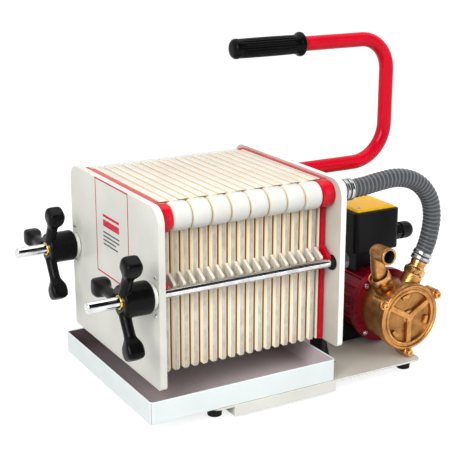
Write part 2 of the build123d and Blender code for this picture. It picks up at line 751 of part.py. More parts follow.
def hose_nozzle():
    """Union nut and short stem between the pump's delivery port and the hose."""
    top = PORT_BOSS_REACH + UNION_LENGTH
    nozzle = port_hexagon(1, PORT_BOSS_REACH, top, UNION_RADIUS)
    nozzle = nozzle + port_round(1, top, top + NOZZLE_LENGTH, NOZZLE_RADIUS)
    return nozzle - port_round(1, 0, top + NOZZLE_LENGTH + CUT_PAST, PORT_BORE_RADIUS)


def inlet_elbow():
    """Union and right angle elbow whose open mouth faces the near side."""
    dx, dz = port_direction(-1)
    top = PORT_BOSS_REACH + UNION_LENGTH
    knee = top + ELBOW_KNEE
    x = PUMP_X + dx * knee
    knee_z = PUMP_Z + dz * knee
    z = knee_z + ELBOW_RISE
    mouth = PORT_Y - ELBOW_REACH
    elbow = port_hexagon(-1, PORT_BOSS_REACH, top, UNION_RADIUS)
    elbow = elbow + port_round(-1, top, knee, ELBOW_RADIUS)
    elbow = elbow + Pos(x, PORT_Y, knee_z) * Sphere(ELBOW_RADIUS)
    elbow = elbow + round_z(knee_z, z, x, PORT_Y, ELBOW_RADIUS)
    elbow = elbow + Pos(x, PORT_Y, z) * Sphere(ELBOW_RADIUS)
    elbow = elbow + round_y(mouth, PORT_Y, x, z, ELBOW_RADIUS)
    elbow = elbow + round_y(mouth, mouth + ELBOW_LIP, x, z, ELBOW_LIP_RADIUS)
    return elbow - round_y(
        mouth - CUT_PAST, mouth + ELBOW_BORE_DEPTH, x, z, ELBOW_BORE_RADIUS
    )


def hose_points():
    """Route of the hose, ending square on the nozzle."""
    dx, dz = port_direction(1)
    seat = PORT_BOSS_REACH + UNION_LENGTH + NOZZLE_LENGTH
    start = seat + HOSE_LAST_RUN
    last = [(PUMP_X + dx * reach, PORT_Y, PUMP_Z + dz * reach) for reach in (start, seat)]
    port_end = REAR_BACK_X + COLLAR_THICK
    first = [(x, -EYE_Y, EYE_Z) for x in (port_end, port_end + HOSE_FIRST_RUN)]
    return first + HOSE_ROUTE + last


def hose_radii(points):
    """Bend radius at each inner point, as large as its two runs allow."""
    radii = []
    for before, here, after in zip(points, points[1:], points[2:]):
        into = Vector(*here) - Vector(*before)
        out = Vector(*after) - Vector(*here)
        turn = radians(into.get_angle(out))
        radii.append(HOSE_ARC_SHARE * min(into.length, out.length) / tan(turn / 2))
    return radii


def hose_path():
    """Centre line of the hose."""
    points = hose_points()
    return FilletPolyline(*points, radius=hose_radii(points))


def hose():
    """Reinforced hose as a plain round tube."""
    path = hose_path()
    section = Plane(origin=path @ 0, z_dir=path % 0) * Circle(HOSE_RADIUS)
    return sweep(section, path=path)


def band(place):
    """Clamp band around the hose at one place on its centre line."""
    outside = HOSE_RADIUS + CLAMP_GAP + CLAMP_THICK
    inside = HOSE_RADIUS + CLAMP_GAP
    return place * (Cylinder(outside, CLAMP_WIDTH) - Cylinder(inside, CLAMP_WIDTH))


def hose_clamps():
    """Two bands at the rear plate and two at the pump."""
    points = hose_points()
    start = Vector(*points[0])
    toward_start = (Vector(*points[1]) - start).normalized()
    end = Vector(*points[-1])
    toward_end = (Vector(*points[-2]) - end).normalized()
    first = CLAMP_INSET + CLAMP_WIDTH / 2
    bands = []
    for origin, way in ((start, toward_start), (end, toward_end)):
        for reach in (first, first + CLAMP_PITCH):
            bands.append(band(Plane(origin=origin + way * reach, z_dir=way)))
    return Compound(children=bands)


def hose_port():
    """White hexagon fitting on the rear plate where the hose starts."""
    y = -EYE_Y
    z = EYE_Z
    x0 = REAR_BACK_X
    hexagon = Plane.YZ.offset(x0) * Pos(y, z) * RegularPolygon(COLLAR_HEX_RADIUS, 6)
    fitting = extrude(hexagon, COLLAR_HEX_THICK)
    fitting = fitting + round_x(x0, x0 + COLLAR_THICK, y, z, COLLAR_RADIUS)
    return fitting - round_x(
        x0 - CUT_PAST, x0 + COLLAR_THICK + CUT_PAST, y, z, EYE_BORE_RADIUS
    )


def outlet_spigot():
    """Hose tail on the far channel, behind the rear plate."""
    y = EYE_Y
    z = EYE_Z
    x0 = REAR_BACK_X
    hexagon = Plane.YZ.offset(x0) * Pos(y, z) * RegularPolygon(COLLAR_HEX_RADIUS, 6)
    spigot = extrude(hexagon, COLLAR_HEX_THICK)
    tail_end = x0 + COLLAR_HEX_THICK + OUTLET_TAIL_LENGTH
    spigot = spigot + round_x(x0, tail_end, y, z, OUTLET_TAIL_RADIUS)
    return spigot - round_x(x0 - CUT_PAST, tail_end + CUT_PAST, y, z, OUTLET_BORE_RADIUS)


def motor_body():
    """Finned motor with a front flange behind the pump."""
    y0 = PUMP_BACK_Y
    y1 = MOTOR_BACK_Y
    body = round_y(y0, y1, PUMP_X, PUMP_Z, MOTOR_RADIUS - MOTOR_FIN_HEIGHT)
    body = body + round_y(y0, y0 + MOTOR_FLANGE_THICK, PUMP_X, PUMP_Z, MOTOR_FLANGE_RADIUS)
    for index in range(MOTOR_FIN_COUNT):
        turn = index * 360 / MOTOR_FIN_COUNT
        fin = box_between(
            (0, -MOTOR_FIN_THICK / 2, 0),
            (MOTOR_RADIUS, MOTOR_FIN_THICK / 2, MOTOR_LENGTH - MOTOR_FLANGE_THICK),
        )
        standing = Pos(PUMP_X, y1, PUMP_Z) * Rot(90, 0, 0) * Rot(0, 0, turn)
        body = body + standing * fin
    return body


def fan_cover():
    """Round cap over the motor's fan."""
    y1 = MOTOR_BACK_Y + FAN_COVER_LENGTH
    cap = round_y(MOTOR_BACK_Y, y1, PUMP_X, PUMP_Z, FAN_COVER_RADIUS)
    back = cap.edges().filter_by(GeomType.CIRCLE).sort_by(Axis.Y)[-1]
    return fillet(back, FAN_COVER_FILLET)


def motor_foot():
    """Block that stands the motor on the base."""
    x = PUMP_X - MOTOR_FOOT_SHIFT
    y = PUMP_BACK_Y + MOTOR_FOOT_SETBACK
    foot = box_between(
        (x - MOTOR_FOOT_WIDTH / 2, y - MOTOR_FOOT_LENGTH / 2, BASE_TOP),
        (x + MOTOR_FOOT_WIDTH / 2, y + MOTOR_FOOT_LENGTH / 2, BASE_TOP + MOTOR_FOOT_HEIGHT),
    )
    return foot - round_y(PUMP_BACK_Y, MOTOR_BACK_Y, PUMP_X, PUMP_Z, MOTOR_RADIUS + SEAT_GAP)


def terminal_box():
    """Electrical box on a short neck above the motor."""
    case = box_between(
        (PUMP_X - BOX_LENGTH / 2, BOX_Y - BOX_DEPTH / 2, BOX_BOTTOM),
        (PUMP_X + BOX_LENGTH / 2, BOX_Y + BOX_DEPTH / 2, BOX_TOP),
    )
    case = fillet(case.edges().filter_by(Axis.Z), BOX_CORNER)
    neck = box_between(
        (PUMP_X - BOX_NECK_LENGTH / 2, BOX_Y - BOX_NECK_DEPTH / 2, PUMP_Z + BOX_NECK_RISE),
        (PUMP_X + BOX_NECK_LENGTH / 2, BOX_Y + BOX_NECK_DEPTH / 2, BOX_BOTTOM),
    )
    clear = MOTOR_RADIUS + SEAT_GAP
    return case + (neck - round_y(PUMP_BACK_Y, MOTOR_BACK_Y, PUMP_X, PUMP_Z, clear))


def box_lid():
    """Yellow lid on the electrical box."""
    lid = box_between(
        (PUMP_X - BOX_LENGTH / 2 + LID_INSET, BOX_Y - BOX_DEPTH / 2 + LID_INSET, BOX_TOP),
        (PUMP_X + BOX_LENGTH / 2 - LID_INSET, BOX_Y + BOX_DEPTH / 2 - LID_INSET, BOX_TOP + LID_THICK),
    )
    return chamfer(lid.edges().group_by(Axis.Z)[-1], LID_CHAMFER)


def cable_gland():
    """Round cable gland on the electrical box's rear end."""
    x0 = PUMP_X + BOX_LENGTH / 2
    y = BOX_Y - GLAND_SIDE_SHIFT
    z = BOX_TOP - GLAND_DROP
    neck = round_x(x0, x0 + GLAND_NUT_LENGTH, y, z, GLAND_NUT_RADIUS)
    cap = round_x(x0 + GLAND_NUT_LENGTH, x0 + GLAND_LENGTH, y, z, GLAND_RADIUS)
    end = cap.edges().filter_by(GeomType.CIRCLE).sort_by(Axis.X)[-1]
    return neck + fillet(end, GLAND_END_FILLET)


def make_nodes():
    """Every piece by name, in the press's own coordinates."""
    nodes = {
        "base_plate": base_plate(),
        "base_feet": base_feet(),
        "drip_tray": drip_tray(),
        "rear_brackets": rear_brackets(),
        "rear_plate": rear_plate(),
        "rear_red_plate": rear_red_plate(),
        "end_spacer": end_spacer(),
        "filter_sheets": filter_sheets(),
        "front_red_plate": front_red_plate(),
        "front_pressure_plate": front_pressure_plate(),
        "front_plate_screws": front_plate_screws(),
        "tie_rod_near": tie_rod(-1),
        "tie_rod_far": tie_rod(1),
        "rod_bushes": rod_bushes(),
        "rod_nuts": rod_nuts(),
        "knob_near": knob(-1),
        "knob_far": knob(1),
        "knob_insert_near": knob_insert(-1),
        "knob_insert_far": knob_insert(1),
        "carry_handle": carry_handle(),
        "handle_grip": handle_grip(),
        "hose_port": hose_port(),
        "outlet_spigot": outlet_spigot(),
        "hose": hose(),
        "hose_clamps": hose_clamps(),
        "pump_body": pump_body(),
        "pump_cover": pump_cover(),
        "pump_bolts": pump_bolts(),
        "hose_nozzle": hose_nozzle(),
        "inlet_elbow": inlet_elbow(),
        "motor_body": motor_body(),
        "fan_cover": fan_cover(),
        "motor_foot": motor_foot(),
        "terminal_box": terminal_box(),
        "box_lid": box_lid(),
        "cable_gland": cable_gland(),
    }
    for index in range(FILTER_PLATES):
        nodes[f"filter_plate_{index + 1:02d}"] = filter_plate(index)
    return nodes


def footprint_centre(nodes):
    """Middle of everything but the hose, seen from above."""
    rigid = [shape for name, shape in nodes.items() if name != "hose"]
    box = Compound(children=[Compound(children=shape.solids()) for shape in rigid]).bounding_box()
    return (box.min.X + box.max.X) / 2, (box.min.Y + box.max.Y) / 2


def main():
    os.makedirs("parts", exist_ok=True)
    nodes = make_nodes()
    middle_x, middle_y = footprint_centre(nodes)
    place = Pos(-middle_x, -middle_y, 0)
    for name, shape in nodes.items():
        export_step(place * shape, f"parts/{name}.step")
    print("origin in press coordinates", round(middle_x, 3), round(middle_y, 3))
    print("hose length", round(hose_path().length, 1))
    print("hose radii", [round(r, 1) for r in hose_radii(hose_points())])
    print("hose points", [[round(c, 2) for c in p] for p in hose_points()])


main()
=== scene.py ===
import math

import bmesh
import bpy
from mathutils import Matrix, Vector


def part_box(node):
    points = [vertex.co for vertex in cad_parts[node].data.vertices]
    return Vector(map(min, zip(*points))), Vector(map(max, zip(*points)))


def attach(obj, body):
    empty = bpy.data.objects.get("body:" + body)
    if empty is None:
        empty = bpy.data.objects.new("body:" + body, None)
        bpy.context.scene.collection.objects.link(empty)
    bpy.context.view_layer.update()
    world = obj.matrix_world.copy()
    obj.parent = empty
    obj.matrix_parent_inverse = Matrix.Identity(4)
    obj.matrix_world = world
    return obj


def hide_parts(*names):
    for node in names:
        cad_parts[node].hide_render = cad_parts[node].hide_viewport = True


# Lengths below are the press's own millimetres: X from just before the pressure plate towards the
# pump, Y = 0 in the middle of the filter plates, Z up from the ground. TO_ROW takes them to the
# row frame, in metres.
ORIGIN = Vector((212.15, 15.411, 0.0))
TO_ROW = Matrix.Scale(0.001, 4) @ Matrix.Translation(-ORIGIN)

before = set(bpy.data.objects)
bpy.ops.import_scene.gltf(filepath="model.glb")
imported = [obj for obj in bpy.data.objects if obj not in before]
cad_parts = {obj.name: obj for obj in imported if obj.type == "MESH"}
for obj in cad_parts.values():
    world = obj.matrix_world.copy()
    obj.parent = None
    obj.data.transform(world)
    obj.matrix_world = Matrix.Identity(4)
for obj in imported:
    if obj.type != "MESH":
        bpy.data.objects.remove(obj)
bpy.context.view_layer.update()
scene = bpy.context.scene


# ---- camera

CAMERA_PLACE = (-0.83035, -1.442511, 0.7281)
CAMERA_HEADING = math.radians(29.70)
CAMERA_DROP = math.radians(16.69)
CAMERA_LENS = 88.49


def put(name, data):
    """New object in the scene."""
    made = bpy.data.objects.new(name, data)
    scene.collection.objects.link(made)
    return made


def aim(thing, place, ahead):
    """Moves a camera or lamp to a place and points it ahead."""
    thing.location = place
    thing.rotation_mode = "QUATERNION"
    thing.rotation_quaternion = ahead.to_track_quat("-Z", "Y")


def add_camera():
    camera = put("camera", bpy.data.cameras.new("camera"))
    camera.data.lens = CAMERA_LENS
    camera.data.sensor_width = 36.0
    level, drop = math.cos(CAMERA_DROP), math.sin(CAMERA_DROP)
    ahead = Vector((math.sin(CAMERA_HEADING) * level, math.cos(CAMERA_HEADING) * level, -drop))
    aim(camera, CAMERA_PLACE, ahead)
    scene.camera = camera


add_camera()


# ---- node and material helpers

def linear(colour):
    """Linear RGBA of an sRGB hex colour such as #D8D8CF."""
    parts = [int(colour[i:i + 2], 16) / 255 for i in (1, 3, 5)]
    return [c / 12.92 if c <= 0.04045 else ((c + 0.055) / 1.055) ** 2.4 for c in parts] + [1.0]


def node(tree, kind, values=None):
    """Adds a node with its settings and links. Keys are its properties, or its inputs by name or
    number, which take an output, a hex colour or a plain value."""
    made = tree.nodes.new(kind)
    for key, value in (values or {}).items():
        if isinstance(key, str) and hasattr(made, key):
            setattr(made, key, value)
        elif isinstance(value, bpy.types.NodeSocket):
            tree.links.new(value, made.inputs[key])
        else:
            made.inputs[key].default_value = linear(value) if isinstance(value, str) else value
    return made


def start_material(name):
    made = bpy.data.materials.new(name)
    made.use_nodes = True
    made.node_tree.nodes.clear()
    place = node(made.node_tree, "ShaderNodeTexCoord").outputs["Object"]
    return made, made.node_tree, place


def grain(tree, place, size, detail=2.0, spread=None, stretch=None, rough=0.5):
    """Pattern whose features are about size metres wide, or stretched along an axis. Spread takes
    its low and high values to 0 and 1, or to a third and fourth value."""
    if stretch:
        place = node(tree, "ShaderNodeMapping", {"Scale": stretch, "Vector": place}).outputs[0]
    found = node(tree, "ShaderNodeTexNoise", {"Vector": place, "Scale": 1.0 / size,
        "Detail": detail, "Roughness": rough}).outputs["Fac"]
    if spread:
        low, high, to_low, to_high = spread if len(spread) == 4 else (*spread, 0.0, 1.0)
        found = node(tree, "ShaderNodeMapRange", {"Value": found, "From Min": low,
            "From Max": high, "To Min": to_low, "To Max": to_high}).outputs[0]
    return found


def layered(tree, colour, *layers):
    """Colour with layers over it, each a share and a colour."""
    for share, over in layers:
        colour = node(tree, "ShaderNodeMix",
            {"data_type": "RGBA", 0: share, 6: colour, 7: over}).outputs[2]
    return colour


def edge_wear_and_highlight(tree, place, size, low, high):
    """Share of patches on the faces that a bevel marked as edge: rubbed wear on most finishes, and
    on the motor's casting a painted highlight.
    """
    edge = node(tree, "ShaderNodeAttribute", {"attribute_name": "edge"}).outputs["Fac"]
    return node(tree, "ShaderNodeMath", {"operation": "MULTIPLY", 0: edge,
        1: grain(tree, place, size, 4.0, (low, high))}).outputs[0]


def surface(tree, colour, roughness, skin, depth, strength, **constant):
    """Principled surface with its skin as a bump. Constant values go straight on the shader's own
    sockets."""
    raised = node(tree, "ShaderNodeBump",
        {"Distance": depth, "Strength": strength, "Height": skin}).outputs["Normal"]
    shader = node(tree, "ShaderNodeBsdfPrincipled",
        {"Base Color": colour, "Roughness": roughness, "Normal": raised,
        **{key.replace("_", " "): value for key, value in constant.items()}})
    node(tree, "ShaderNodeOutputMaterial", {"Surface": shader.outputs["BSDF"]})


def powder_coat(name, colour, shade, worn, peel=0.0011, gloss=0.42):
    """Powder coated sheet steel: fine orange peel, faint clouds, thin coat on the edges."""
    made, tree, place = start_material(name)
    body = layered(tree, colour, (grain(tree, place, 0.11, 3.0, (0.35, 0.7)), shade),
        (edge_wear_and_highlight(tree, place, 0.009, 0.5, 0.72), worn))
    rough = grain(tree, place, 0.03, 3.0, (0.3, 0.7, gloss - 0.06, gloss + 0.08))
    surface(tree, body, rough, grain(tree, place, peel), 0.00012, 0.35)
    return made


def moulded(name, colour, shade, gloss, edge=None, grit=0.0009, depth=0.00008, shine=0.5):
    """Moulded plastic: slight colour drift, lighter edges that are rubbed wear and, on the motor's
    casting, a painted highlight, and an eroded mould grain drawn several times coarser than the
    real one, so that it shows."""
    made, tree, place = start_material(name)
    body = layered(tree, colour, (grain(tree, place, 0.045, 3.0, (0.35, 0.7)), shade))
    if edge:
        body = layered(tree, body, (edge_wear_and_highlight(tree, place, 0.006, 0.4, 0.65), edge))
    rough = grain(tree, place, 0.012, 3.0, (0.3, 0.7, gloss - 0.05, gloss + 0.1))
    surface(tree, body, rough, grain(tree, place, grit, 3.0), depth, 0.4, Specular_IOR_Level=shine)
    return made


def bare_metal(name, colour, shade, gloss, stretch=None):
    """Bare metal: patchy handling marks, and drawn or turned lines, coarser than real ones so
    that they show."""
    made, tree, place = start_material(name)
    marks = grain(tree, place, 0.02, 4.0, (0.4, 0.7))
    rough = node(tree, "ShaderNodeMapRange",
        {"Value": marks, "To Min": gloss, "To Max": gloss + 0.1}).outputs[0]
    lines = grain(tree, place, 0.0006, 2.0, None, stretch)
    surface(tree, layered(tree, colour, (marks, shade)), rough, lines, 0.00002, 0.5, Metallic=1.0)
    return made


# Off-white powder coat on the press's steel plates: even and slightly pearly.
plate_paint = powder_coat("powder_coated_plate_steel", "#DEDED6", "#D3D2C9", "#F1F3EE")
# The same coat on the rim of the rear plate, whiter as painted highlight, and a little glossier.
rim_highlight_paint = powder_coat("powder_coated_rim", "#F6F8F4", "#EDEFEA", "#FAFBF8", 0.0011, 0.36)
# The same coat, greyer: on the top of the folded base and on the brackets' feet, and as painted
# shade on the faces of the rear plate.
greyed_paint_and_painted_shade = powder_coat("powder_coated_base_steel", "#CCC9C0", "#B8B3A9", "#E6E6E0", 0.0013)
# Vacuum formed tray: cool white outside.
tray_white = moulded("formed_polystyrene_tray", "#E3EBEA", "#DDE6E5", 0.36, None, 0.0009, 0.00002)
# Fine red moulded polypropylene of the two end plates, glossy on the rounded eyes.
end_red = moulded("moulded_polypropylene_red", "#CE0622", "#BC041E", 0.20, "#D60E2A", 0.0012,
    0.00005, shine=0.2)
# Hard black nylon of the clamping knobs: satin.
knob_nylon = moulded("moulded_nylon_black", "#070708", "#0C0C0E", 0.27, None, 0.0008, 0.00009,
    shine=0.1)
# Black ABS of the switch box, with a spark eroded grain.
box_abs = moulded("moulded_abs_black", "#08080A", "#101013", 0.40, "#1C1C1F", 0.0007, 0.00012,
    shine=0.15)
# Yellow ABS lid, slightly glossy.
lid_abs = moulded("moulded_abs_yellow", "#FFC700", "#F8BA00", 0.32, "#FFD84A", 0.0009, 0.00006,
    shine=0.12)
# White moulded fittings of the two channels, and the washers behind the knobs.
fitting_white = moulded("moulded_acetal_white", "#E9EAE6", "#DCDDD8", 0.30, "#FAFAF8", 0.001,
    0.00004)
# Black rubber of feet and bushes: dull, slightly dusty.
foot_rubber = moulded("moulded_rubber_black", "#0C0C0C", "#161515", 0.62, "#201F1E", 0.0006, 0.0001,
    shine=0.2)
# Soft vinyl of the carrying grip: dipped, with a broad sheen.
grip_vinyl = moulded("dipped_vinyl_black", "#060607", "#0B0B0D", 0.27, None, 0.0014, 0.00006,
    shine=0.08)
# Cast housing of the motor in dark red enamel, with a brighter red painted on its edges as painted
# highlight.
motor_enamel = moulded("enamelled_motor_casting", "#94051F", "#62041A", 0.28, "#D41836", 0.0021,
    0.00022, shine=0.2)
# Black pressed steel of the brackets.
bracket_paint = moulded("stove_enamelled_steel_black", "#0D0D0E", "#161617", 0.42, "#2E2D2C",
    0.0015, shine=0.2)
# Bright drawn stainless steel of the tie rods, with faint drawing lines along X.
rod_steel = bare_metal("drawn_stainless_steel", "#D9DADB", "#BDBEBF", 0.10, (0.03, 1.0, 1.0))
# Zinc plated steel of nuts, screws and hose clamps, with a slightly cloudy passivation.
zinc = bare_metal("zinc_plated_steel", "#C9CBCB", "#9EA1A1", 0.24)
# The same plating gone dull on the nuts of the tie rods, out of sight behind the press.
dull_zinc = bare_metal("dull_zinc_plated_steel", "#6C6E70", "#4E5052", 0.42)
# Turned brass thread insert, warm and bright.
brass = bare_metal("turned_brass", "#F2C53A", "#C99A22", 0.20, (3.0, 0.4, 0.4))


def gloss_enamel(name):
    """Gloss enamel on bent tube: smooth, wet looking and slightly cloudy."""
    made, tree, place = start_material(name)
    body = layered(tree, "#CE0623", (grain(tree, place, 0.06, 2.0, (0.35, 0.7)), "#BE0420"))
    surface(tree, body, 0.16, grain(tree, place, 0.004, 1.0), 0.00008, 0.3, Specular_IOR_Level=0.1,
        Coat_Weight=0.04, Coat_Roughness=0.05)
    return made


handle_enamel = gloss_enamel("gloss_enamel_red")


def plate_plastic(name):
    """Ivory polypropylene of the filter plates: milky on top; flanks and lugs' sides darkened and
    mottled as painted shade, darkest up under the eyes; cream chamfers, paler low down as painted
    light; gaps painted brown as painted shade, paler towards the top as painted light."""
    made, tree, place = start_material(name)
    flank, edge, stain = [node(tree, "ShaderNodeAttribute", {"attribute_name": mark}).outputs["Fac"]
        for mark in ("flank", "edge", "stain")]
    drift = grain(tree, place, 0.05, 3.0, (0.35, 0.7))
    mottle = grain(tree, place, 0.006, 5.0, (0.35, 0.65), (1.0, 1.0, 0.5))
    patchy = grain(tree, place, 0.02, 4.0, (0.3, 0.7, 0.7, 1.0), (1.0, 1.0, 0.25))
    height = node(tree, "ShaderNodeSeparateXYZ", {"Vector": place}).outputs["Z"]
    # Painted light and shade by height: 1 low on the plates, where flanks and chamfers are paler,
    # and 0 up under the eyes, where the flanks darken.
    low = node(tree, "ShaderNodeMapRange", {"Value": height, "From Min": 0.16, "From Max": 0.25,
        "To Min": 1.0, "To Max": 0.0}).outputs[0]
    # Painted light on the gaps towards the top of the pack.
    top = node(tree, "ShaderNodeMapRange",
        {"Value": height, "From Min": 0.300, "From Max": 0.322}).outputs[0]
    # Brown painted shade in the gaps, in patches.
    patchy_gap_shade = node(tree, "ShaderNodeMath",
        {"operation": "MULTIPLY", 0: stain, 1: patchy}).outputs[0]
    body = layered(tree, "#E3DFD4", (drift, "#D8D2C4"),
        (flank, layered(tree, layered(tree, "#C6BFB1", (mottle, "#ADA496")),
            (low, layered(tree, "#DED9CC", (mottle, "#C8C0B2"))))),
        (edge, layered(tree, "#EBDCB9", (low, "#FBF0D4"))),
        (patchy_gap_shade, layered(tree, "#B87F48", (top, "#F0CE96"))))
    rough = grain(tree, place, 0.015, 2.0, (0.3, 0.7, 0.36, 0.48))
    surface(tree, body, rough, grain(tree, place, 0.0011), 0.00006, 0.3, Specular_IOR_Level=0.35,
        Subsurface_Weight=0.04, Subsurface_Scale=0.004)
    return made


plate_cream = plate_plastic("moulded_polypropylene_ivory")
# The channel eyes of the same plates, in a cool white.
eye_white = moulded("moulded_polypropylene_eye", "#D6D8D5", "#D1D2C9", 0.34, None, 0.0011, 0.00006,
    shine=0.35)


def pressed_sheet(name):
    """Cellulose filter sheet: soft tan board, with fibres drawn coarse enough to show."""
    made, tree, place = start_material(name)
    fibre = grain(tree, place, 0.0012, 5.0, None, (1.0, 1.0, 0.4))
    pale = node(tree, "ShaderNodeMapRange",
        {"Value": fibre, "From Min": 0.35, "From Max": 0.65}).outputs[0]
    body = layered(tree, "#A9743C", (pale, "#C79A62"))
    surface(tree, body, 0.92, fibre, 0.0003, 0.6, Sheen_Weight=0.2)
    return made


sheet_board = pressed_sheet("pressed_cellulose_sheet")


def cast_bronze(name, colour, shade, tarnish, gloss, grit, depth):
    """Bronze: sand cast skin, coarser than real so that it shows, or turned faces, browned by
    handling in patches."""
    made, tree, place = start_material(name)
    patches = grain(tree, place, 0.022, 5.0, (0.38, 0.66), rough=0.62)
    body = layered(tree, colour, (patches, shade),
        (grain(tree, place, 0.007, 4.0, (0.56, 0.76, 0.0, 0.5)), tarnish),
        (edge_wear_and_highlight(tree, place, 0.006, 0.3, 0.5), "#F6CF86"))
    rough = node(tree, "ShaderNodeMapRange",
        {"Value": patches, "To Min": gloss, "To Max": gloss + 0.16}).outputs[0]
    surface(tree, body, rough, grain(tree, place, grit, 4.0), depth, 0.6, Metallic=1.0)
    return made


# Pump castings: golden, with a pebbled sand cast skin.
bronze = cast_bronze("sand_cast_bronze", "#D49C5E", "#A97742", "#5E4026", 0.30, 0.0024, 0.00045)
# The same casting in its recesses, browned where nothing rubs it.
bronze_patina = cast_bronze("patinated_bronze", "#B07E48", "#8A5E34", "#4E3620", 0.36, 0.0024,
    0.0005)
# Turned unions and nozzle: smoother and brighter.
bronze_turned = cast_bronze("turned_bronze", "#E0AC6A", "#BE8850", "#745036", 0.22, 0.0012, 0.00006)


def tray_inside(name):
    """Inside of the tray: taupe with paler specks, painted paler towards the rear end as painted
    light and dark towards the far side as painted shade, so that the near side stays paler."""
    made, tree, place = start_material(name)
    speck = grain(tree, place, 0.0022, 5.0)
    split = node(tree, "ShaderNodeSeparateXYZ", {"Vector": place}).outputs
    dusty = node(tree, "ShaderNodeMapRange",
        {"Value": speck, "From Min": 0.35, "From Max": 0.65}).outputs[0]
    # Painted light towards the rear end.
    rear = node(tree, "ShaderNodeMapRange", {"Value": split["X"], "From Min": -0.16,
        "From Max": 0.02, "To Max": 0.8}).outputs[0]
    # Painted shade towards the far side.
    far = node(tree, "ShaderNodeMapRange",
        {"Value": split["Y"], "From Min": -0.10, "From Max": 0.05}).outputs[0]
    body = layered(tree, "#A39597", (dusty, "#C0B3B7"),
        (grain(tree, place, 0.06, 3.0, (0.4, 0.7, 0.0, 0.6)), "#B8ACAD"),
        (rear, "#D2C6CA"), (far, layered(tree, "#52464A", (speck, "#645659"))))
    surface(tree, body, 0.46, speck, 0.0001, 0.4)
    return made


tray_taupe = tray_inside("stained_polystyrene_tray")


def spiral_hose(name):
    """Grey PVC hose with a pale rigid spiral: the spiral is drawn by the piece's own UV map,
    whose U runs along the hose in turns of the spiral and V once around it."""
    made, tree, place = start_material(name)
    uv = node(tree, "ShaderNodeUVMap", {"uv_map": "along_hose"}).outputs["UV"]
    split = node(tree, "ShaderNodeSeparateXYZ", {"Vector": uv}).outputs
    turn = node(tree, "ShaderNodeMath", {"operation": "ADD", 0: split["X"], 1: split["Y"]})
    phase = node(tree, "ShaderNodeMath",
        {"operation": "PINGPONG", 0: turn.outputs[0], 1: 0.5}).outputs[0]
    rib = node(tree, "ShaderNodeMapRange", {"Value": phase, "From Min": 0.10, "From Max": 0.22,
        "To Min": 1.0, "To Max": 0.0}).outputs[0]
    body = layered(tree, "#3A3C40", (grain(tree, place, 0.012, 4.0), "#4F5155"), (rib, "#6B6E71"))
    surface(tree, body, 0.26, grain(tree, place, 0.003), 0.0001, 0.3, Specular_IOR_Level=0.2)
    return made


hose_pvc = spiral_hose("spiral_reinforced_pvc")


def plain_print(name, colour, gloss):
    """Screen printed ink: flat, thin and even, with a faint mesh, coarser than a real one."""
    made, tree, place = start_material(name)
    surface(tree, colour, gloss, grain(tree, place, 0.0005, 1.0), 0.00001, 0.2)
    return made


label_red = plain_print("label_ink_red", "#C20A34", 0.5)
label_dark = plain_print("label_ink_dark", "#26262A", 0.38)
# Black inside of bores, where no light comes back.
bore_dark = moulded("unlit_bore", "#060505", "#0A0808", 0.7, None, 0.001, 0.00002)


# ---- mesh helpers

def skin(bm, rings, wrap=False):
    """Closed skin through rings of points, capped at both ends or closed on itself."""
    rows = [[bm.verts.new(p) for p in ring] for ring in rings]
    pairs = list(zip(rows, rows[1:]))
    if wrap:
        pairs.append((rows[-1], rows[0]))
    for low, high in pairs:
        for i in range(len(low)):
            j = (i + 1) % len(low)
            bm.faces.new((low[i], low[j], high[j], high[i]))
    if not wrap:
        bm.faces.new(reversed(rows[0]))
        bm.faces.new(rows[-1])


def turn_on(axis, place):
    """Matrix that takes local Z to an axis through a place."""
    turned = Vector(axis).to_track_quat("Z", "Y").to_matrix().to_4x4()
    return Matrix.Translation(Vector(place)) @ turned


def lathe(bm, profile, axis, place, segments=48, wrap=False, flute=None):
    """Shape turned about an axis at a place, from (height, radius) or (height, corner radius,
    sides) points. Flute gives a share of the radius at an angle and height, for ribs."""
    matrix = turn_on(axis, place)
    rings = []
    for point in profile:
        height, radius = point[0], point[1]
        sides = point[2] if len(point) > 2 else 0
        ring = []
        for i in range(segments):
            angle = 2 * math.pi * i / segments
            reach = radius
            if sides:
                sector = 2 * math.pi / sides
                reach = radius * math.cos(sector / 2) / math.cos(angle % sector - sector / 2)
            if flute:
                reach *= flute(angle, height)
            ring.append(matrix @ Vector((reach * math.cos(angle), reach * math.sin(angle), height)))
        rings.append(ring)
    skin(bm, rings, wrap)


def arc(centre, radius, start, end, steps):
    """Points of an arc in a plane, angles in degrees."""
    out = []
    for i in range(steps + 1):
        angle = math.radians(start + (end - start) * i / steps)
        out.append((centre[0] + radius * math.cos(angle), centre[1] + radius * math.sin(angle)))
    return out


def prism(bm, outline, x0, x1):
    """(y, z) outline drawn out along X."""
    skin(bm, [[Vector((x, y, z)) for y, z in outline] for x in (x0, x1)])


def block(bm, low, high):
    y0, y1, z0, z1 = low[1], high[1], low[2], high[2]
    prism(bm, [(y0, z0), (y1, z0), (y1, z1), (y0, z1)], low[0], high[0])


def sweep_frames(points):
    """Tangent and two cross directions at each point, without twist."""
    frames = []
    side = None
    for i, point in enumerate(points):
        ahead = points[min(i + 1, len(points) - 1)] - points[max(i - 1, 0)]
        ahead.normalize()
        if side is None:
            side = ahead.orthogonal().normalized()
        side = (side - ahead * side.dot(ahead)).normalized()
        frames.append((ahead, side, ahead.cross(side)))
    return frames


def pipe(bm, points, radius, segments=32):
    """Round tube along points."""
    rings = []
    for point, (_, side, up) in zip(points, sweep_frames(points)):
        ring = []
        for i in range(segments):
            angle = 2 * math.pi * i / segments
            ring.append(point + (side * math.cos(angle) + up * math.sin(angle)) * radius)
        rings.append(ring)
    skin(bm, rings)


def shade(mesh, angle=38):
    for face in mesh.polygons:
        face.use_smooth = True
    mesh.set_sharp_from_angle(angle=math.radians(angle))


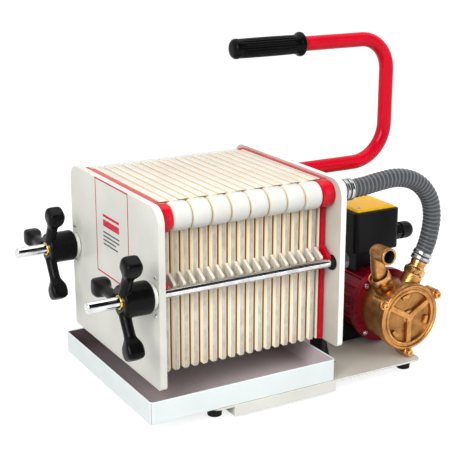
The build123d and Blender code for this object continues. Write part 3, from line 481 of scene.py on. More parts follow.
def freeze(piece):
    """Turns what the modifiers make into the piece's own mesh."""
    graph = bpy.context.evaluated_depsgraph_get()
    mesh = bpy.data.meshes.new_from_object(piece.evaluated_get(graph))
    piece.modifiers.clear()
    piece.data = mesh
    mesh.name = piece.name
    return piece


def make(name, bm, finishes, in_mm=True):
    """Object at the origin from a mesh in the press's millimetres."""
    bmesh.ops.recalc_face_normals(bm, faces=bm.faces)
    if in_mm:
        bmesh.ops.transform(bm, matrix=TO_ROW, verts=bm.verts)
    mesh = bpy.data.meshes.new(name)
    bm.to_mesh(mesh)
    bm.free()
    shade(mesh)
    piece = put(name, mesh)
    for finish in finishes if isinstance(finishes, list) else [finishes]:
        mesh.materials.append(finish)
    return piece


def copy_of(node_name, name, finish):
    """Merged copy of a CAD node, with its flat faces made whole again."""
    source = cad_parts[node_name].data
    mesh = bpy.data.meshes.new(name)
    mesh.from_pydata([v.co for v in source.vertices], [],
        [tuple(p.vertices) for p in source.polygons])
    bm = bmesh.new()
    bm.from_mesh(mesh)
    bmesh.ops.remove_doubles(bm, verts=bm.verts, dist=2e-6)
    bmesh.ops.dissolve_limit(bm, angle_limit=math.radians(0.6), verts=bm.verts, edges=bm.edges,
        use_dissolve_boundaries=False)
    return make(name, bm, finish, False)


def add_bevel(piece, width, segments, angle):
    """Bevel on every edge sharper than an angle, with a width in millimetres."""
    bevel = piece.modifiers.new("round_edges", "BEVEL")
    bevel.width = width * 0.001
    bevel.segments = segments
    bevel.limit_method = "ANGLE"
    bevel.angle_limit = math.radians(angle)
    return bevel


def soften(piece, width, segments=3):
    """Rounds every sharp edge to a width in millimetres and marks the new faces as edge."""
    index = len(piece.data.materials)
    add_bevel(piece, width, segments, 38).material = index
    piece.data.materials.append(piece.data.materials[0])
    normals = piece.modifiers.new("flat_faces_lead", "WEIGHTED_NORMAL")
    normals.keep_sharp = False
    freeze(piece)
    mesh = piece.data
    mark = mesh.attributes.new("edge", "FLOAT", "FACE")
    for face, value in zip(mesh.polygons, mark.data):
        value.value = 1.0 if face.material_index == index else 0.0
        if face.material_index == index:
            face.material_index = 0
    mesh.materials.pop(index=index)
    return piece


def mount(piece, slot, *nodes, body="frame"):
    """The piece rides on its body and stands for CAD nodes, which it hides. The slot is not used.
    """
    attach(piece, body)
    if nodes:
        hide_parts(*nodes)
    return piece


def dress(node_name, name, finish, width, segments, slot, body="frame"):
    """Copy of a CAD node with rounded edges that stands for it."""
    piece = soften(copy_of(node_name, name, finish), width, segments)
    return mount(piece, slot, node_name, body=body)


def repaint(piece, chosen):
    """Gives the faces that a test picks the second finish, and the others the first."""
    for face in piece.data.polygons:
        face.material_index = 1 if chosen(face) else 0


# ---- geometry node trees

def repeat_tree(name, labels, lay):
    """Tree that repeats a piece the way that lay puts it, with two vectors among its inputs."""
    tree = bpy.data.node_groups.new(name, "GeometryNodeTree")
    for way in ("INPUT", "OUTPUT"):
        tree.interface.new_socket("Geometry", in_out=way, socket_type="NodeSocketGeometry")
    for label, kind in (("Piece", "Object"), ("Count", "Int"), (labels[0], "Vector"),
            (labels[1], "Vector"), ("Finish", "Material")):
        tree.interface.new_socket(label, in_out="INPUT", socket_type="NodeSocket" + kind)
    given = node(tree, "NodeGroupInput").outputs
    piece = node(tree, "GeometryNodeObjectInfo", {"Object": given["Piece"]})
    copies = lay(tree, given, piece.outputs["Geometry"])
    real = node(tree, "GeometryNodeRealizeInstances", {"Geometry": copies})
    painted = node(tree, "GeometryNodeSetMaterial",
        {"Geometry": real.outputs[0], "Material": given["Finish"]})
    node(tree, "NodeGroupOutput", {0: painted.outputs[0]})
    return tree


def in_row(tree, given, piece):
    """Copies in a straight row."""
    line = node(tree, "GeometryNodeMeshLine", {"mode": "OFFSET", "Count": given["Count"],
        "Start Location": given["Start"], "Offset": given["Step"]})
    return node(tree, "GeometryNodeInstanceOnPoints",
        {"Points": line.outputs[0], "Instance": piece}).outputs[0]


def in_ring(tree, given, piece):
    """Copies around an axis through a centre, turned with their place."""
    line = node(tree, "GeometryNodeMeshLine",
        {"mode": "OFFSET", "Offset": (0, 0, 0), "Count": given["Count"]})
    index = node(tree, "GeometryNodeInputIndex").outputs[0]
    share = node(tree, "ShaderNodeMath", {"operation": "DIVIDE", 0: index, 1: given["Count"]})
    angle = node(tree, "ShaderNodeMath",
        {"operation": "MULTIPLY", 0: share.outputs[0], 1: math.tau})
    turn = node(tree, "FunctionNodeAxisAngleToRotation",
        {"Axis": given["Axis"], "Angle": angle.outputs[0]})
    copies = node(tree, "GeometryNodeInstanceOnPoints",
        {"Points": line.outputs[0], "Instance": piece, "Rotation": turn.outputs[0]})
    return node(tree, "GeometryNodeTranslateInstances", {"Local Space": False,
        "Instances": copies.outputs[0], "Translation": given["Centre"]}).outputs[0]


ROW = repeat_tree("row_of_pieces", ("Start", "Step"), in_row)
RING = repeat_tree("ring_of_pieces", ("Centre", "Axis"), in_ring)


def grow(name, tree, values):
    """Piece made by a tree with the values given to its named inputs. The piece that it repeats
    is used up."""
    piece = put(name, bpy.data.meshes.new(name))
    modifier = piece.modifiers.new("nodes", "NODES")
    modifier.node_group = tree
    for item in tree.interface.items_tree:
        if item.item_type == "SOCKET" and item.in_out == "INPUT" and item.name in values:
            modifier[item.identifier] = values[item.name]
    freeze(piece)
    bpy.data.objects.remove(values["Piece"])
    shade(piece.data)
    return piece


def row_at(x, y, z):
    """Row frame vector of a point in the press's millimetres."""
    return tuple(TO_ROW @ Vector((x, y, z)))


def soft_pattern(name, bm, finish, width=0.55):
    """Shape to be repeated, in millimetres about its own origin, as a metre sized mesh with
    lightly rounded edges that keeps the marks of its chamfers."""
    bmesh.ops.transform(bm, matrix=Matrix.Scale(0.001, 4), verts=bm.verts)
    piece = make(name, bm, finish, False)
    add_bevel(piece, width, 2, 30)
    return freeze(piece)


def join(name, pieces):
    """One mesh of several pieces, with the finishes of each."""
    bm = bmesh.new()
    finishes = []
    for piece in pieces:
        shift = []
        for finish in piece.data.materials:
            if finish not in finishes:
                finishes.append(finish)
            shift.append(finishes.index(finish))
        before = len(bm.faces)
        bm.from_mesh(piece.data)
        bm.faces.ensure_lookup_table()
        for face in bm.faces[before:]:
            face.material_index = shift[face.material_index] if shift else 0
    mesh = bpy.data.meshes.new(name)
    bm.to_mesh(mesh)
    bm.free()
    for finish in finishes:
        mesh.materials.append(finish)
    for piece in pieces:
        bpy.data.objects.remove(piece)
    return put(name, mesh)


# ---- hose, a tube between its two fittings

HOSE_RADIUS = 14.4
HOSE_PITCH = 7.2
HOSE_POINTS = [(316.7, -120.4, 308), (350, -120.4, 308), (385, -119.4, 313), (425, -117.6, 315),
    (464, -114, 302), (492, -111.5, 274), (501, -109.5, 240), (499.5, -106.5, 210),
    (495.92, -104, 190.31), (483.51, -104, 167.46)]


def route_line(name, points, resolution):
    """Points of the NURBS line through a route, in the row frame."""
    curve = bpy.data.curves.new(name, "CURVE")
    curve.dimensions = "3D"
    spline = curve.splines.new("NURBS")
    spline.points.add(len(points) - 1)
    for target, point in zip(spline.points, points):
        target.co = (*row_at(*point), 1)
    spline.order_u = 3
    spline.use_endpoint_u = True
    spline.resolution_u = resolution
    holder = put(name, curve)
    mesh = bpy.data.meshes.new_from_object(holder)
    line = [v.co.copy() for v in mesh.vertices]
    bpy.data.meshes.remove(mesh)
    bpy.data.objects.remove(holder)
    return line


def add_hose():
    """Tube along the route's own NURBS line, with the raised spiral of a suction hose."""
    line = route_line("hose_route", HOSE_POINTS, 40)
    lengths = [0]
    for before, after in zip(line, line[1:]):
        lengths.append(lengths[-1] + (after - before).length)
    bm = bmesh.new()
    uv = bm.loops.layers.uv.new("along_hose")
    segments, radius = 40, HOSE_RADIUS * 0.001
    rows = []
    for point, far, (_, side, up) in zip(line, lengths, sweep_frames(line)):
        ring = []
        for i in range(segments):
            share = i / segments
            turn = far / (HOSE_PITCH * 0.001) + share
            ridge = math.cos(2 * math.pi * turn)
            reach = radius - 0.00055 + 0.0005 * max(ridge, -0.3)
            angle = 2 * math.pi * share
            out = side * math.cos(angle) + up * math.sin(angle)
            ring.append(bm.verts.new(point + out * reach))
        rows.append(ring)
    for k, (low, high) in enumerate(zip(rows, rows[1:])):
        for i in range(segments):
            j = (i + 1) % segments
            face = bm.faces.new((low[i], low[j], high[j], high[i]))
            corners = ((lengths[k], i), (lengths[k], i + 1), (lengths[k + 1], i + 1),
                (lengths[k + 1], i))
            for loop, (far, step) in zip(face.loops, corners):
                loop[uv].uv = (far / (HOSE_PITCH * 0.001), step / segments)
    bm.faces.new(reversed(rows[0]))
    bm.faces.new(rows[-1])
    piece = make("hose_wall", bm, hose_pvc, False)
    mount(piece, "hose_grey", "hose")


add_hose()


# ---- plates and frame

PLATE_COUNT = 17
PITCH = 15.1
PLATE_THICK = 12.7
FIRST_PLATE_X = 25.4
HALF_WIDTH = 113.5
BOTTOM, TOP = 79, 328
EYE_Y, EYE_Z, EYE_RADIUS = 120.4, 308, 20.2
EYES_START, EYES_END = 23.3, 281.8
ROD_Y, ROD_Z = 134.7, 205.3
# Back face of the rear plate, and what stands behind it.
REAR_BACK = 303.1
BRACKET_Y = 84
BRACKET_THICK = 5
BRACKET_FOOT_SHARE = 0.46
# In metres, in the row frame.
BRACKET_FOOT_TOP = 0.031
# How far the rear red plate stands proud of the filter plates.
REAR_FLARE = 3.5


def eye_barrel(bm, x0, x1, side, crown=5.2):
    """Crowned barrel with a channel bore, lying along X."""
    length = x1 - x0
    profile = [(0, 8), (0, 13)]
    profile += [(crown * (1 - math.cos(a)), 13 + (EYE_RADIUS - 13) * math.sin(a))
        for a in (0.35, 0.7, 1.05, 1.35, 1.571)]
    profile += [(length / 2, EYE_RADIUS + 0.15)]
    profile += [(length - s, r) for s, r in reversed(profile[:-1])]
    lathe(bm, profile, (1, 0, 0), (x0, side * EYE_Y, EYE_Z), 56, wrap=True)


def lug_outline(side):
    """(y, z) outline of the short arm that rests on one rod."""
    saddle, tip = 6.8, ROD_Y - 3
    points = [(HALF_WIDTH - 1, ROD_Z + 20), (HALF_WIDTH, ROD_Z + 20), (tip, ROD_Z + 9.3)]
    points += arc((ROD_Y, ROD_Z), saddle, 116.2, 192.7, 9)
    points += [(126.9, ROD_Z - 1.5), (HALF_WIDTH, ROD_Z + 5), (HALF_WIDTH - 1, ROD_Z + 5)]
    return [(side * y, z) for y, z in points]


def plate_pattern(side):
    """One filter plate about its own front face at X = 0. Side is that of its own eye."""
    reach = EYE_RADIUS + 1.5
    across = HALF_WIDTH - EYE_Y
    low = math.degrees(math.asin(across / reach))
    high = math.degrees(math.asin((TOP - EYE_Z) / reach))
    notch = arc((EYE_Y, EYE_Z), reach, -90 + low, -180, 8)
    notch += arc((EYE_Y, EYE_Z), reach, -180, -180 - high, 8)[1:]
    outline = [(-side * y, z) for y, z in notch]
    outline += [(side * HALF_WIDTH, TOP), (side * HALF_WIDTH, BOTTOM), (-side * HALF_WIDTH, BOTTOM)]
    bm = bmesh.new()
    prism(bm, outline, 0, PLATE_THICK)
    upright = [e for e in bm.edges if abs(e.verts[0].co.x - e.verts[1].co.x) < 1e-6
        and abs(abs(e.verts[0].co.y) - HALF_WIDTH) < 1e-3
        and abs(abs(e.verts[1].co.y) - HALF_WIDTH) < 1e-3]
    edge, stain, flank = [bm.faces.layers.float.new(name) for name in ("edge", "stain", "flank")]
    bm.normal_update()
    # Side faces are marked for the flanks' painted shade, and faces across X and in the notches for
    # the gaps' painted shade.
    for face in bm.faces:
        across, up = abs(face.normal.y), abs(face.normal.z)
        face[flank] = 1.0 if across > 0.97 else 0.0
        face[stain] = 1.0 if across < 0.97 and up < 0.97 else 0.0
    made = bmesh.ops.bevel(bm, geom=upright, offset=3.2, segments=1, affect="EDGES")
    for face in made["faces"]:
        face[edge], face[stain], face[flank] = 1.0, 0.0, 0.0
    body = set(bm.faces)
    for way in (-1, 1):
        prism(bm, lug_outline(way), PLATE_THICK - 4.8, PLATE_THICK)
    bm.normal_update()
    # The lugs' faces across X take the flanks' painted shade.
    for face in set(bm.faces) - body:
        face[flank] = 1.0 if abs(face.normal.x) > 0.9 else 0.0
    return bm


# The faces at the joints between the eyes are painted straw coloured as painted light, like the
# gaps at the top of the pack.
eye_joint_painted_light = moulded("stained_polypropylene_eye", "#E6DBB8", "#DCCCA0", 0.4, None, 0.0011, 0.00006,
    shine=0.2)


def add_filter_plates():
    """Seventeen plates in two alternating kinds, with their near or far eyes."""
    parts = []
    for side, first, count in ((1, 0, 9), (-1, 1, 8)):
        kind = soft_pattern("plate_kind", plate_pattern(side), plate_cream)
        start = row_at(FIRST_PLATE_X + first * PITCH, 0, 0)
        parts.append(grow("plates", ROW, {"Piece": kind, "Count": count, "Start": start,
            "Step": (2 * PITCH * 0.001, 0, 0), "Finish": plate_cream}))
    bm = bmesh.new()
    for index in range(PLATE_COUNT):
        middle = FIRST_PLATE_X + index * PITCH + PLATE_THICK / 2
        x0 = max(middle - PITCH + 0.3, EYES_START)
        x1 = min(middle + PITCH - 0.3, EYES_END)
        eye_barrel(bm, x0, x1, 1 if index % 2 == 0 else -1)
    eyes = make("eyes", bm, [eye_white, eye_joint_painted_light])
    # The joints between the eyes take their straw painted light.
    repaint(eyes, lambda face: abs(face.normal.x) > 0.8)
    piece = join("filter_plates", parts + [eyes])
    mount(piece, "plate_cream", *[f"filter_plate_{i + 1:02d}" for i in range(PLATE_COUNT)])


def add_filter_sheets():
    bm = bmesh.new()
    block(bm, (0.05, -100, 103.5), (2.35, 100, 303.5))
    sheet = soft_pattern("sheet", bm, sheet_board, 0.5)
    piece = grow("filter_sheets_pressed", ROW, {"Piece": sheet, "Count": PLATE_COUNT + 1,
        "Start": row_at(23, 0, 0), "Step": (PITCH * 0.001, 0, 0), "Finish": sheet_board})
    mount(piece, "sheet_cellulose", "filter_sheets")


def add_head_plates():
    """Red end plates: the CAD solids with moulded, rounded edges."""
    for name, body, flare in (("front_red_plate", "press_head", 0),
            ("rear_red_plate", "frame", REAR_FLARE)):
        piece = copy_of(name, name + "_moulded", end_red)
        for vertex in piece.data.vertices:
            across = vertex.co.y * 1000 + ORIGIN.y
            if abs(abs(across) - HALF_WIDTH) < 0.3:
                vertex.co.y += math.copysign(flare * 0.001, across)
        mount(soften(piece, 1.1), "head_red", name, body=body)
    dress("end_spacer", "end_spacer_moulded", plate_cream, 0.6, 2, "plate_cream")


def add_steel_plates():
    slot = "painted_off_white"
    dress("front_pressure_plate", "pressure_plate_coated", plate_paint, 1.8, 4, slot, "press_head")
    # The rear plate's faces take the greyer coat as painted shade, and its rim the whiter coat as
    # painted highlight.
    rear = dress("rear_plate", "rear_plate_coated", [greyed_paint_and_painted_shade, rim_highlight_paint], 1.8, 4, slot)
    repaint(rear, lambda face: abs(face.normal.x) <= 0.9)
    base = dress("base_plate", "base_plate_coated", [greyed_paint_and_painted_shade, plate_paint], 0.8, 2, slot)
    repaint(base, lambda face: abs(face.normal.z) <= 0.5)
    brackets = copy_of("rear_brackets", "rear_brackets_coated", [bracket_paint, greyed_paint_and_painted_shade])
    # Their feet end behind the plate's edge.
    root = row_at(REAR_BACK + BRACKET_THICK, 0, 0)[0]
    for vertex in brackets.data.vertices:
        if vertex.co.x > root:
            vertex.co.x = root + (vertex.co.x - root) * BRACKET_FOOT_SHARE
    mount(soften(brackets, 0.8, 2), "bracket_black", "rear_brackets")
    repaint(brackets, lambda face: face.center.z < BRACKET_FOOT_TOP)


def add_tray():
    tray = dress("drip_tray", "drip_tray_formed", [tray_white, tray_taupe], 1.4, 4, "tray_white",
        "tray")
    low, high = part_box("drip_tray")
    low, high = low + Vector((0.002, 0.002, 0.002)), high - Vector((0.002, 0.002, 0.0025))
    # The inside faces take the taupe with its painted light and shade.
    repaint(tray, lambda face: all(a < b < c for a, b, c in zip(low, face.center, high)))


add_filter_plates()
add_filter_sheets()
add_head_plates()
add_steel_plates()
add_tray()


# ---- rods, nuts, screws

def add_rods():
    """Bright tie rods, with the turned chamfer and centre mark of their free ends."""
    for name, side in (("near", -1), ("far", 1)):
        bm = bmesh.new()
        end = REAR_BACK + 14
        lathe(bm, [(-93.5, 0.3), (-93.5, 1.2), (-96.5, 2.3), (-96.7, 2.6), (-96.7, 6.2),
            (-95.2, 7.7), (-94.6, 7.9), (9.4, 7.9), (10, 6.5), (end - 1.2, 6.5), (end, 5.4)],
            (1, 0, 0), (0, side * ROD_Y, ROD_Z), 64)
        mount(make(f"tie_rod_{name}_turned", bm, rod_steel), "rod_steel", f"tie_rod_{name}")


def hexagon_nut(bm, place, axis, across, thick, bore):
    corner = across / math.sqrt(3)
    lathe(bm, [(0, bore), (0, corner * 0.93), (thick * 0.12, corner, 6), (thick * 0.88, corner, 6),
        (thick, corner * 0.93), (thick, bore)], axis, place, 48, wrap=True)


def socket_screw(bm, place, axis, radius, height, recess):
    """Cap screw head with a hexagon socket."""
    lathe(bm, [(0, radius), (height - 0.6, radius), (height - 0.2, radius - 0.25),
        (height, radius - 0.7), (height, recess * 1.05), (height - 0.3, recess, 6),
        (height * 0.35, recess, 6)], axis, place, 36)


def dome_screw(bm, place, axis, radius, height, recess):
    """Round headed screw with a hexagon socket."""
    profile = [(height * math.sin(a), radius * math.cos(a)) for a in (0, 0.3, 0.6, 0.9, 1.15)]
    profile += [(height, recess * 1.1), (height - 0.2, recess, 6), (height * 0.3, recess, 6)]
    lathe(bm, profile, axis, place, 30)


def add_fixings():
    """Washers and nuts of the rods, their rubber bushes, and the screws of plate and brackets."""
    bm = bmesh.new()
    for side in (-1, 1):
        place = (REAR_BACK, side * ROD_Y, ROD_Z)
        lathe(bm, [(0, 6.55), (0, 15), (1.6, 15), (1.6, 6.55)], (1, 0, 0), place, 48, wrap=True)
        hexagon_nut(bm, (REAR_BACK + 1.6, side * ROD_Y, ROD_Z), (1, 0, 0), 24, 10.3, 6.55)
    mount(make("rod_nuts_plated", bm, dull_zinc), "fastener_steel", "rod_nuts")
    bm = bmesh.new()
    for side in (-1, 1):
        lathe(bm, [(0, 6.6), (0, 10.9), (0.5, 11.5), (3.2, 11.5), (3.7, 10.9), (3.7, 6.6)],
            (1, 0, 0), (290.4, side * ROD_Y, ROD_Z), 48, wrap=True)
    mount(make("rod_bushes_moulded", bm, foot_rubber), "rubber_black", "rod_bushes")
    bm = bmesh.new()
    for side in (-1, 1):
        for rise in (-27.5, 27.5):
            dome_screw(bm, (2, side * 141, ROD_Z + rise), (-1, 0, 0), 3.4, 2.2, 1.5)
    piece = make("front_plate_screws_plated", bm, zinc)
    mount(piece, "fastener_steel", "front_plate_screws", body="press_head")
    bm = bmesh.new()
    for side in (-1, 1):
        for y in (side * BRACKET_Y - 9, side * BRACKET_Y + 9):
            for z in (58, 106):
                socket_screw(bm, (REAR_BACK + BRACKET_THICK, y, z), (1, 0, 0), 3.6, 3.2, 1.9)
            socket_screw(bm, (321.5, y, 29), (0, 0, 1), 3.6, 3.2, 1.9)
    mount(make("bracket_screws", bm, zinc), "fastener_steel")


def add_feet():
    """Round rubber feet with a moulded lip and a steel washer in the middle."""
    bm, steel = bmesh.new(), bmesh.new()
    for x in (102, 446):
        for y in (-122, 122):
            lathe(bm, [(21, 0.3), (21, 10.4), (20.4, 11), (5, 11), (3, 10.4), (1.2, 10.8),
                (0.4, 10.4), (0, 9.6), (0, 4.2), (3, 3.8), (3, 0.3)], (0, 0, 1), (x, y, 0), 40)
            dome_screw(steel, (x, y, 24), (0, 0, 1), 5, 2.4, 2)
    mount(make("base_feet_moulded", bm, foot_rubber), "rubber_black", "base_feet")
    mount(make("feet_screws", steel, zinc), "fastener_steel")


add_rods()
add_fixings()
add_feet()


# ---- knobs

def lobe_corners(angle, height):
    """Share of the radius that turns the round arm into the rounded square of its lobe."""
    power = 2 + 2.6 * min(1, max(0, (height - 49) / 9))
    return (abs(math.cos(angle)) ** power + abs(math.sin(angle)) ** power) ** (-1 / power)


def knob_shape(bm, side):
    """Hub, three arms and their square lobes, still as separate closed skins."""
    y, z = side * ROD_Y, ROD_Z
    lathe(bm, [(1, 13), (1, 18.6), (-5, 19), (-6, 21.5), (-7.6, 23.1), (-9, 23.5), (-46, 23.3),
        (-48.2, 22), (-49, 19.8), (-49, 10.4), (-30, 10.4), (-30, 13)], (1, 0, 0), (0, y, z), 64,
        wrap=True)
    for turn in (0, 120, 240):
        out = Vector((0, math.cos(math.radians(turn)), math.sin(math.radians(turn))))
        profile = [(14.5, 8.2), (44, 8), (49, 8.3), (53, 9.4), (57, 11.1), (60, 12.2), (63, 12.8),
            (68, 13.1), (73, 12.9), (76.5, 12), (78.8, 10.2), (79.8, 7), (80, 0.5)]
        lathe(bm, profile, out, (-45.5, y, z), 64, flute=lobe_corners)


def add_knobs():
    """Two mouldings with brass inserts. The collar against the plate is a pale washer."""
    washer = row_at(-5.4, 0, 0)[0]
    for name, side in (("near", -1), ("far", 1)):
        bm = bmesh.new()
        knob_shape(bm, side)
        piece = make(f"knob_{name}_moulded", bm, knob_nylon)
        remesh = piece.modifiers.new("one_moulding", "REMESH")
        remesh.mode = "VOXEL"
        remesh.voxel_size = 0.0012
        soft = piece.modifiers.new("mould_radii", "SMOOTH")
        soft.factor = 0.5
        soft.iterations = 6
        freeze(piece)
        piece.data.materials.clear()
        for finish in (knob_nylon, fitting_white):
            piece.data.materials.append(finish)
        repaint(piece, lambda face: face.center.x > washer)
        shade(piece.data, 60)
        mount(piece, "knob_black", f"knob_{name}", body=f"{name}_knob")
        bm = bmesh.new()
        lathe(bm, [(1, 8.1), (1, 12.9), (-29, 12.9), (-29, 10.1), (-49.6, 10.1), (-50.2, 9.7),
            (-50.2, 8.5), (-49.8, 8.1)], (1, 0, 0), (0, side * ROD_Y, ROD_Z), 48, wrap=True)
        piece = make(f"knob_insert_{name}_turned", bm, brass)
        mount(piece, "insert_brass", f"knob_insert_{name}", body=f"{name}_knob")


add_knobs()


# ---- carrying handle

HANDLE_LOW, HANDLE_TOP, HANDLE_BACK = 313.5, 508, 483


def handle_points():
    """Centre line of the bent tube, finely divided in the bends."""
    low, top, back = HANDLE_LOW, HANDLE_TOP, HANDLE_BACK
    line = [(x, low) for x in (REAR_BACK + 0.1, 340, 380)]
    line += arc((back - 60, low + 60), 60, -90, 0, 28)
    line += [(back, 400), (back, 430)]
    line += arc((back - 50, top - 50), 50, 0, 90, 28)
    line += [(400, top), (350, top), (308, top)]
    return [Vector((x, 0, z)) for x, z in line]


def weld_beads(angle, height):
    """Small beads round the weld between tube and collar."""
    return 1 + 0.018 * abs(math.sin(angle * 13))


def add_handle():
    bm = bmesh.new()
    pipe(bm, handle_points(), 11.3, 56)
    lathe(bm, [(0, 10), (0, 16.6), (0.6, 17), (5, 17), (6, 16.4), (6, 10)], (1, 0, 0),
        (REAR_BACK, 0, HANDLE_LOW), 56, wrap=True)
    lathe(bm, [(5.8, 11), (5.8, 14.2), (7.2, 13.6), (8.6, 12.4), (9.6, 11.4), (9.6, 11)], (1, 0, 0),
        (REAR_BACK, 0, HANDLE_LOW), 96, wrap=True, flute=weld_beads)
    mount(make("carry_handle_enamelled", bm, handle_enamel), "handle_red", "carry_handle")


def grip_flute(angle, height):
    """Lengthwise ribs on the grip's middle, fading out towards both ends."""
    fade = min(1, max(0, (height - 9) / 6), max(0, (109 - height) / 4))
    return 1 - 0.055 * fade * (0.5 - 0.5 * math.cos(angle * 20)) ** 2


def add_grip():
    bm = bmesh.new()
    profile = [(0, 0.5), (0, 6), (0.5, 9.5), (1.8, 12.4), (4, 14.4), (6.5, 15), (9, 14.9)]
    profile += [(12 + 4 * k, 14.45 + 0.35 * math.sin(math.pi * k / 24)) for k in range(25)]
    profile += [(111, 14.9), (113.5, 16.2), (115.4, 17.9), (117.6, 18.5), (120, 18.2),
        (121.5, 16.8), (122, 14.5), (122, 11.6), (119, 11.4), (108.2, 11.4), (108, 0.5)]
    lathe(bm, profile, (1, 0, 0), (200, 0, HANDLE_TOP), 120, flute=grip_flute)
    mount(make("handle_grip_dipped", bm, grip_vinyl), "rubber_black", "handle_grip")


add_handle()
add_grip()


# ---- channel fittings and clamps

def add_channel_fittings():
    bm = bmesh.new()
    corner = 20
    lathe(bm, [(0, 8), (0, 18.6), (0.8, corner, 6), (5.2, corner, 6), (6, 18), (6, 16.5), (8, 16.5),
        (8.5, 15.8), (9.6, 15.8), (10.1, 16.5), (12.8, 16.5), (13.6, 15.7), (13.6, 8)], (1, 0, 0),
        (REAR_BACK, -EYE_Y, EYE_Z), 72, wrap=True)
    mount(make("hose_port_moulded", bm, fitting_white), "port_white", "hose_port")
    bm = bmesh.new()
    profile = [(0, 7), (0, 18.6), (0.8, corner, 6), (5.2, corner, 6), (6, 18), (6, 10)]
    profile += [(12, 9.6), (12.4, 9.4)]
    for k in range(4):
        profile += [(13 + 5 * k, 10), (17.6 + 5 * k, 9.1)]
    profile += [(34, 9.4), (36, 8.6), (36, 7)]
    lathe(bm, profile, (1, 0, 0), (REAR_BACK, EYE_Y, EYE_Z), 72, wrap=True)
    mount(make("outlet_spigot_moulded", bm, fitting_white), "port_white", "outlet_spigot")


def add_clamps():
    """Two bands with rolled edges at each end of the hose."""
    bm = bmesh.new()
    inner = HOSE_RADIUS + 0.15
    for end, after in ((0, 1), (-1, -2)):
        place = Vector(HOSE_POINTS[end])
        way = (Vector(HOSE_POINTS[after]) - place).normalized()
        for reach in (4.5, 12.5):
            lathe(bm, [(-3, inner), (-3, inner + 1.7), (-2.3, inner + 2.1), (-1.7, inner + 1.3),
                (1.7, inner + 1.3), (2.3, inner + 2.1), (3, inner + 1.7), (3, inner)],
                way, place + way * reach, 60, wrap=True)
    mount(make("hose_clamps_plated", bm, zinc), "fastener_steel", "hose_clamps")


add_channel_fittings()
add_clamps()


# ---- pump

PUMP_X, PUMP_Z = 442, 91
PUMP_FRONT_Y, COVER_BACK_Y, PORT_Y = -140, -131, -104
UNION_REACH = 62
PORT_TURN = {1: math.radians(28.5), -1: math.radians(30)}
BOLT_CIRCLE = 58.5
PUMP_AXIS = (0, -1, 0)
BOLT_TURNS = (30, 150, 270)


def pump_point(reach, turn, y):
    angle = math.radians(turn)
    return (PUMP_X + reach * math.cos(angle), y, PUMP_Z + reach * math.sin(angle))


def port_point(side, reach):
    return Vector((PUMP_X, PORT_Y, PUMP_Z)) + port_way(side) * reach


def port_way(side):
    return Vector((side * math.sin(PORT_TURN[side]), 0, math.cos(PORT_TURN[side])))


def add_pump():
    dress("pump_body", "pump_body_cast", bronze, 1.2, 3, "pump_bronze")
    bm = bmesh.new()
    lathe(bm, [(0, 0.5), (0, 53.2), (0.8, 54), (6.4, 54), (8, 53), (9, 51.4), (9, 49.2), (8, 48),
        (6.8, 47.6), (6.8, 45.8), (8.2, 45.2), (8.8, 44), (8.8, 42.6), (8, 41.4), (2.4, 40.2),
        (1.6, 38.6), (1.6, 14), (2.4, 12), (4.4, 10), (5.4, 0.5)], PUMP_AXIS,
        (PUMP_X, COVER_BACK_Y, PUMP_Z), 96)
    for turn in BOLT_TURNS:
        lathe(bm, [(0, 7.6), (0.4, 8), (7.6, 8), (8.6, 7.4), (9, 6.6), (9, 0.5), (0, 0.5)],
            PUMP_AXIS, pump_point(BOLT_CIRCLE, turn, COVER_BACK_Y), 32, wrap=True)
    parts = [make("cover_dish", bm, [bronze, bronze_patina])]
    middle = Vector(row_at(PUMP_X, COVER_BACK_Y - 4, PUMP_Z))

    def recessed(face):
        across = face.center - middle
        return across.y > 0 and math.hypot(across.x, across.z) < 0.0425

    repaint(parts[0], recessed)
    # Spokes from the hub to each ear, and a kidney shaped boss before each, cast proud of the
    # recessed face.
    rib, kidney = bmesh.new(), bmesh.new()
    block(rib, (0, -7.6, -4.6), (43, -1.5, 4.6))
    ring = arc((0, 0), 38.5, 62, 84, 8) + arc((0, 0), 31.5, 84, 62, 8)
    skin(kidney, [[Vector((x, y, z)) for x, z in ring] for y in (-7, -1.5)])
    for label, shape in (("spokes", rib), ("bosses", kidney)):
        one = soft_pattern(label, shape, bronze, 1.6)
        one.data.transform(Matrix.Rotation(math.radians(-30), 4, "Y"))
        parts.append(grow(label, RING, {"Piece": one, "Count": 3,
            "Centre": row_at(PUMP_X, COVER_BACK_Y, PUMP_Z), "Axis": PUMP_AXIS, "Finish": bronze}))
    mount(join("pump_cover_cast", parts), "pump_bronze", "pump_cover")
    bm = bmesh.new()
    for turn in BOLT_TURNS:
        place = pump_point(BOLT_CIRCLE, turn, PUMP_FRONT_Y)
        lathe(bm, [(0, 3), (0, 6.6), (1.2, 6.6), (1.2, 3)], PUMP_AXIS, place, 36, wrap=True)
        socket_screw(bm, (place[0], PUMP_FRONT_Y - 1.1, place[2]), PUMP_AXIS, 5.4, 3.9, 2.6)
        lathe(bm, [(-17, 3.9), (0, 3.9)], PUMP_AXIS, place, 24)
    mount(make("pump_bolts_plated", bm, bronze_turned), "pump_bronze", "pump_bolts")


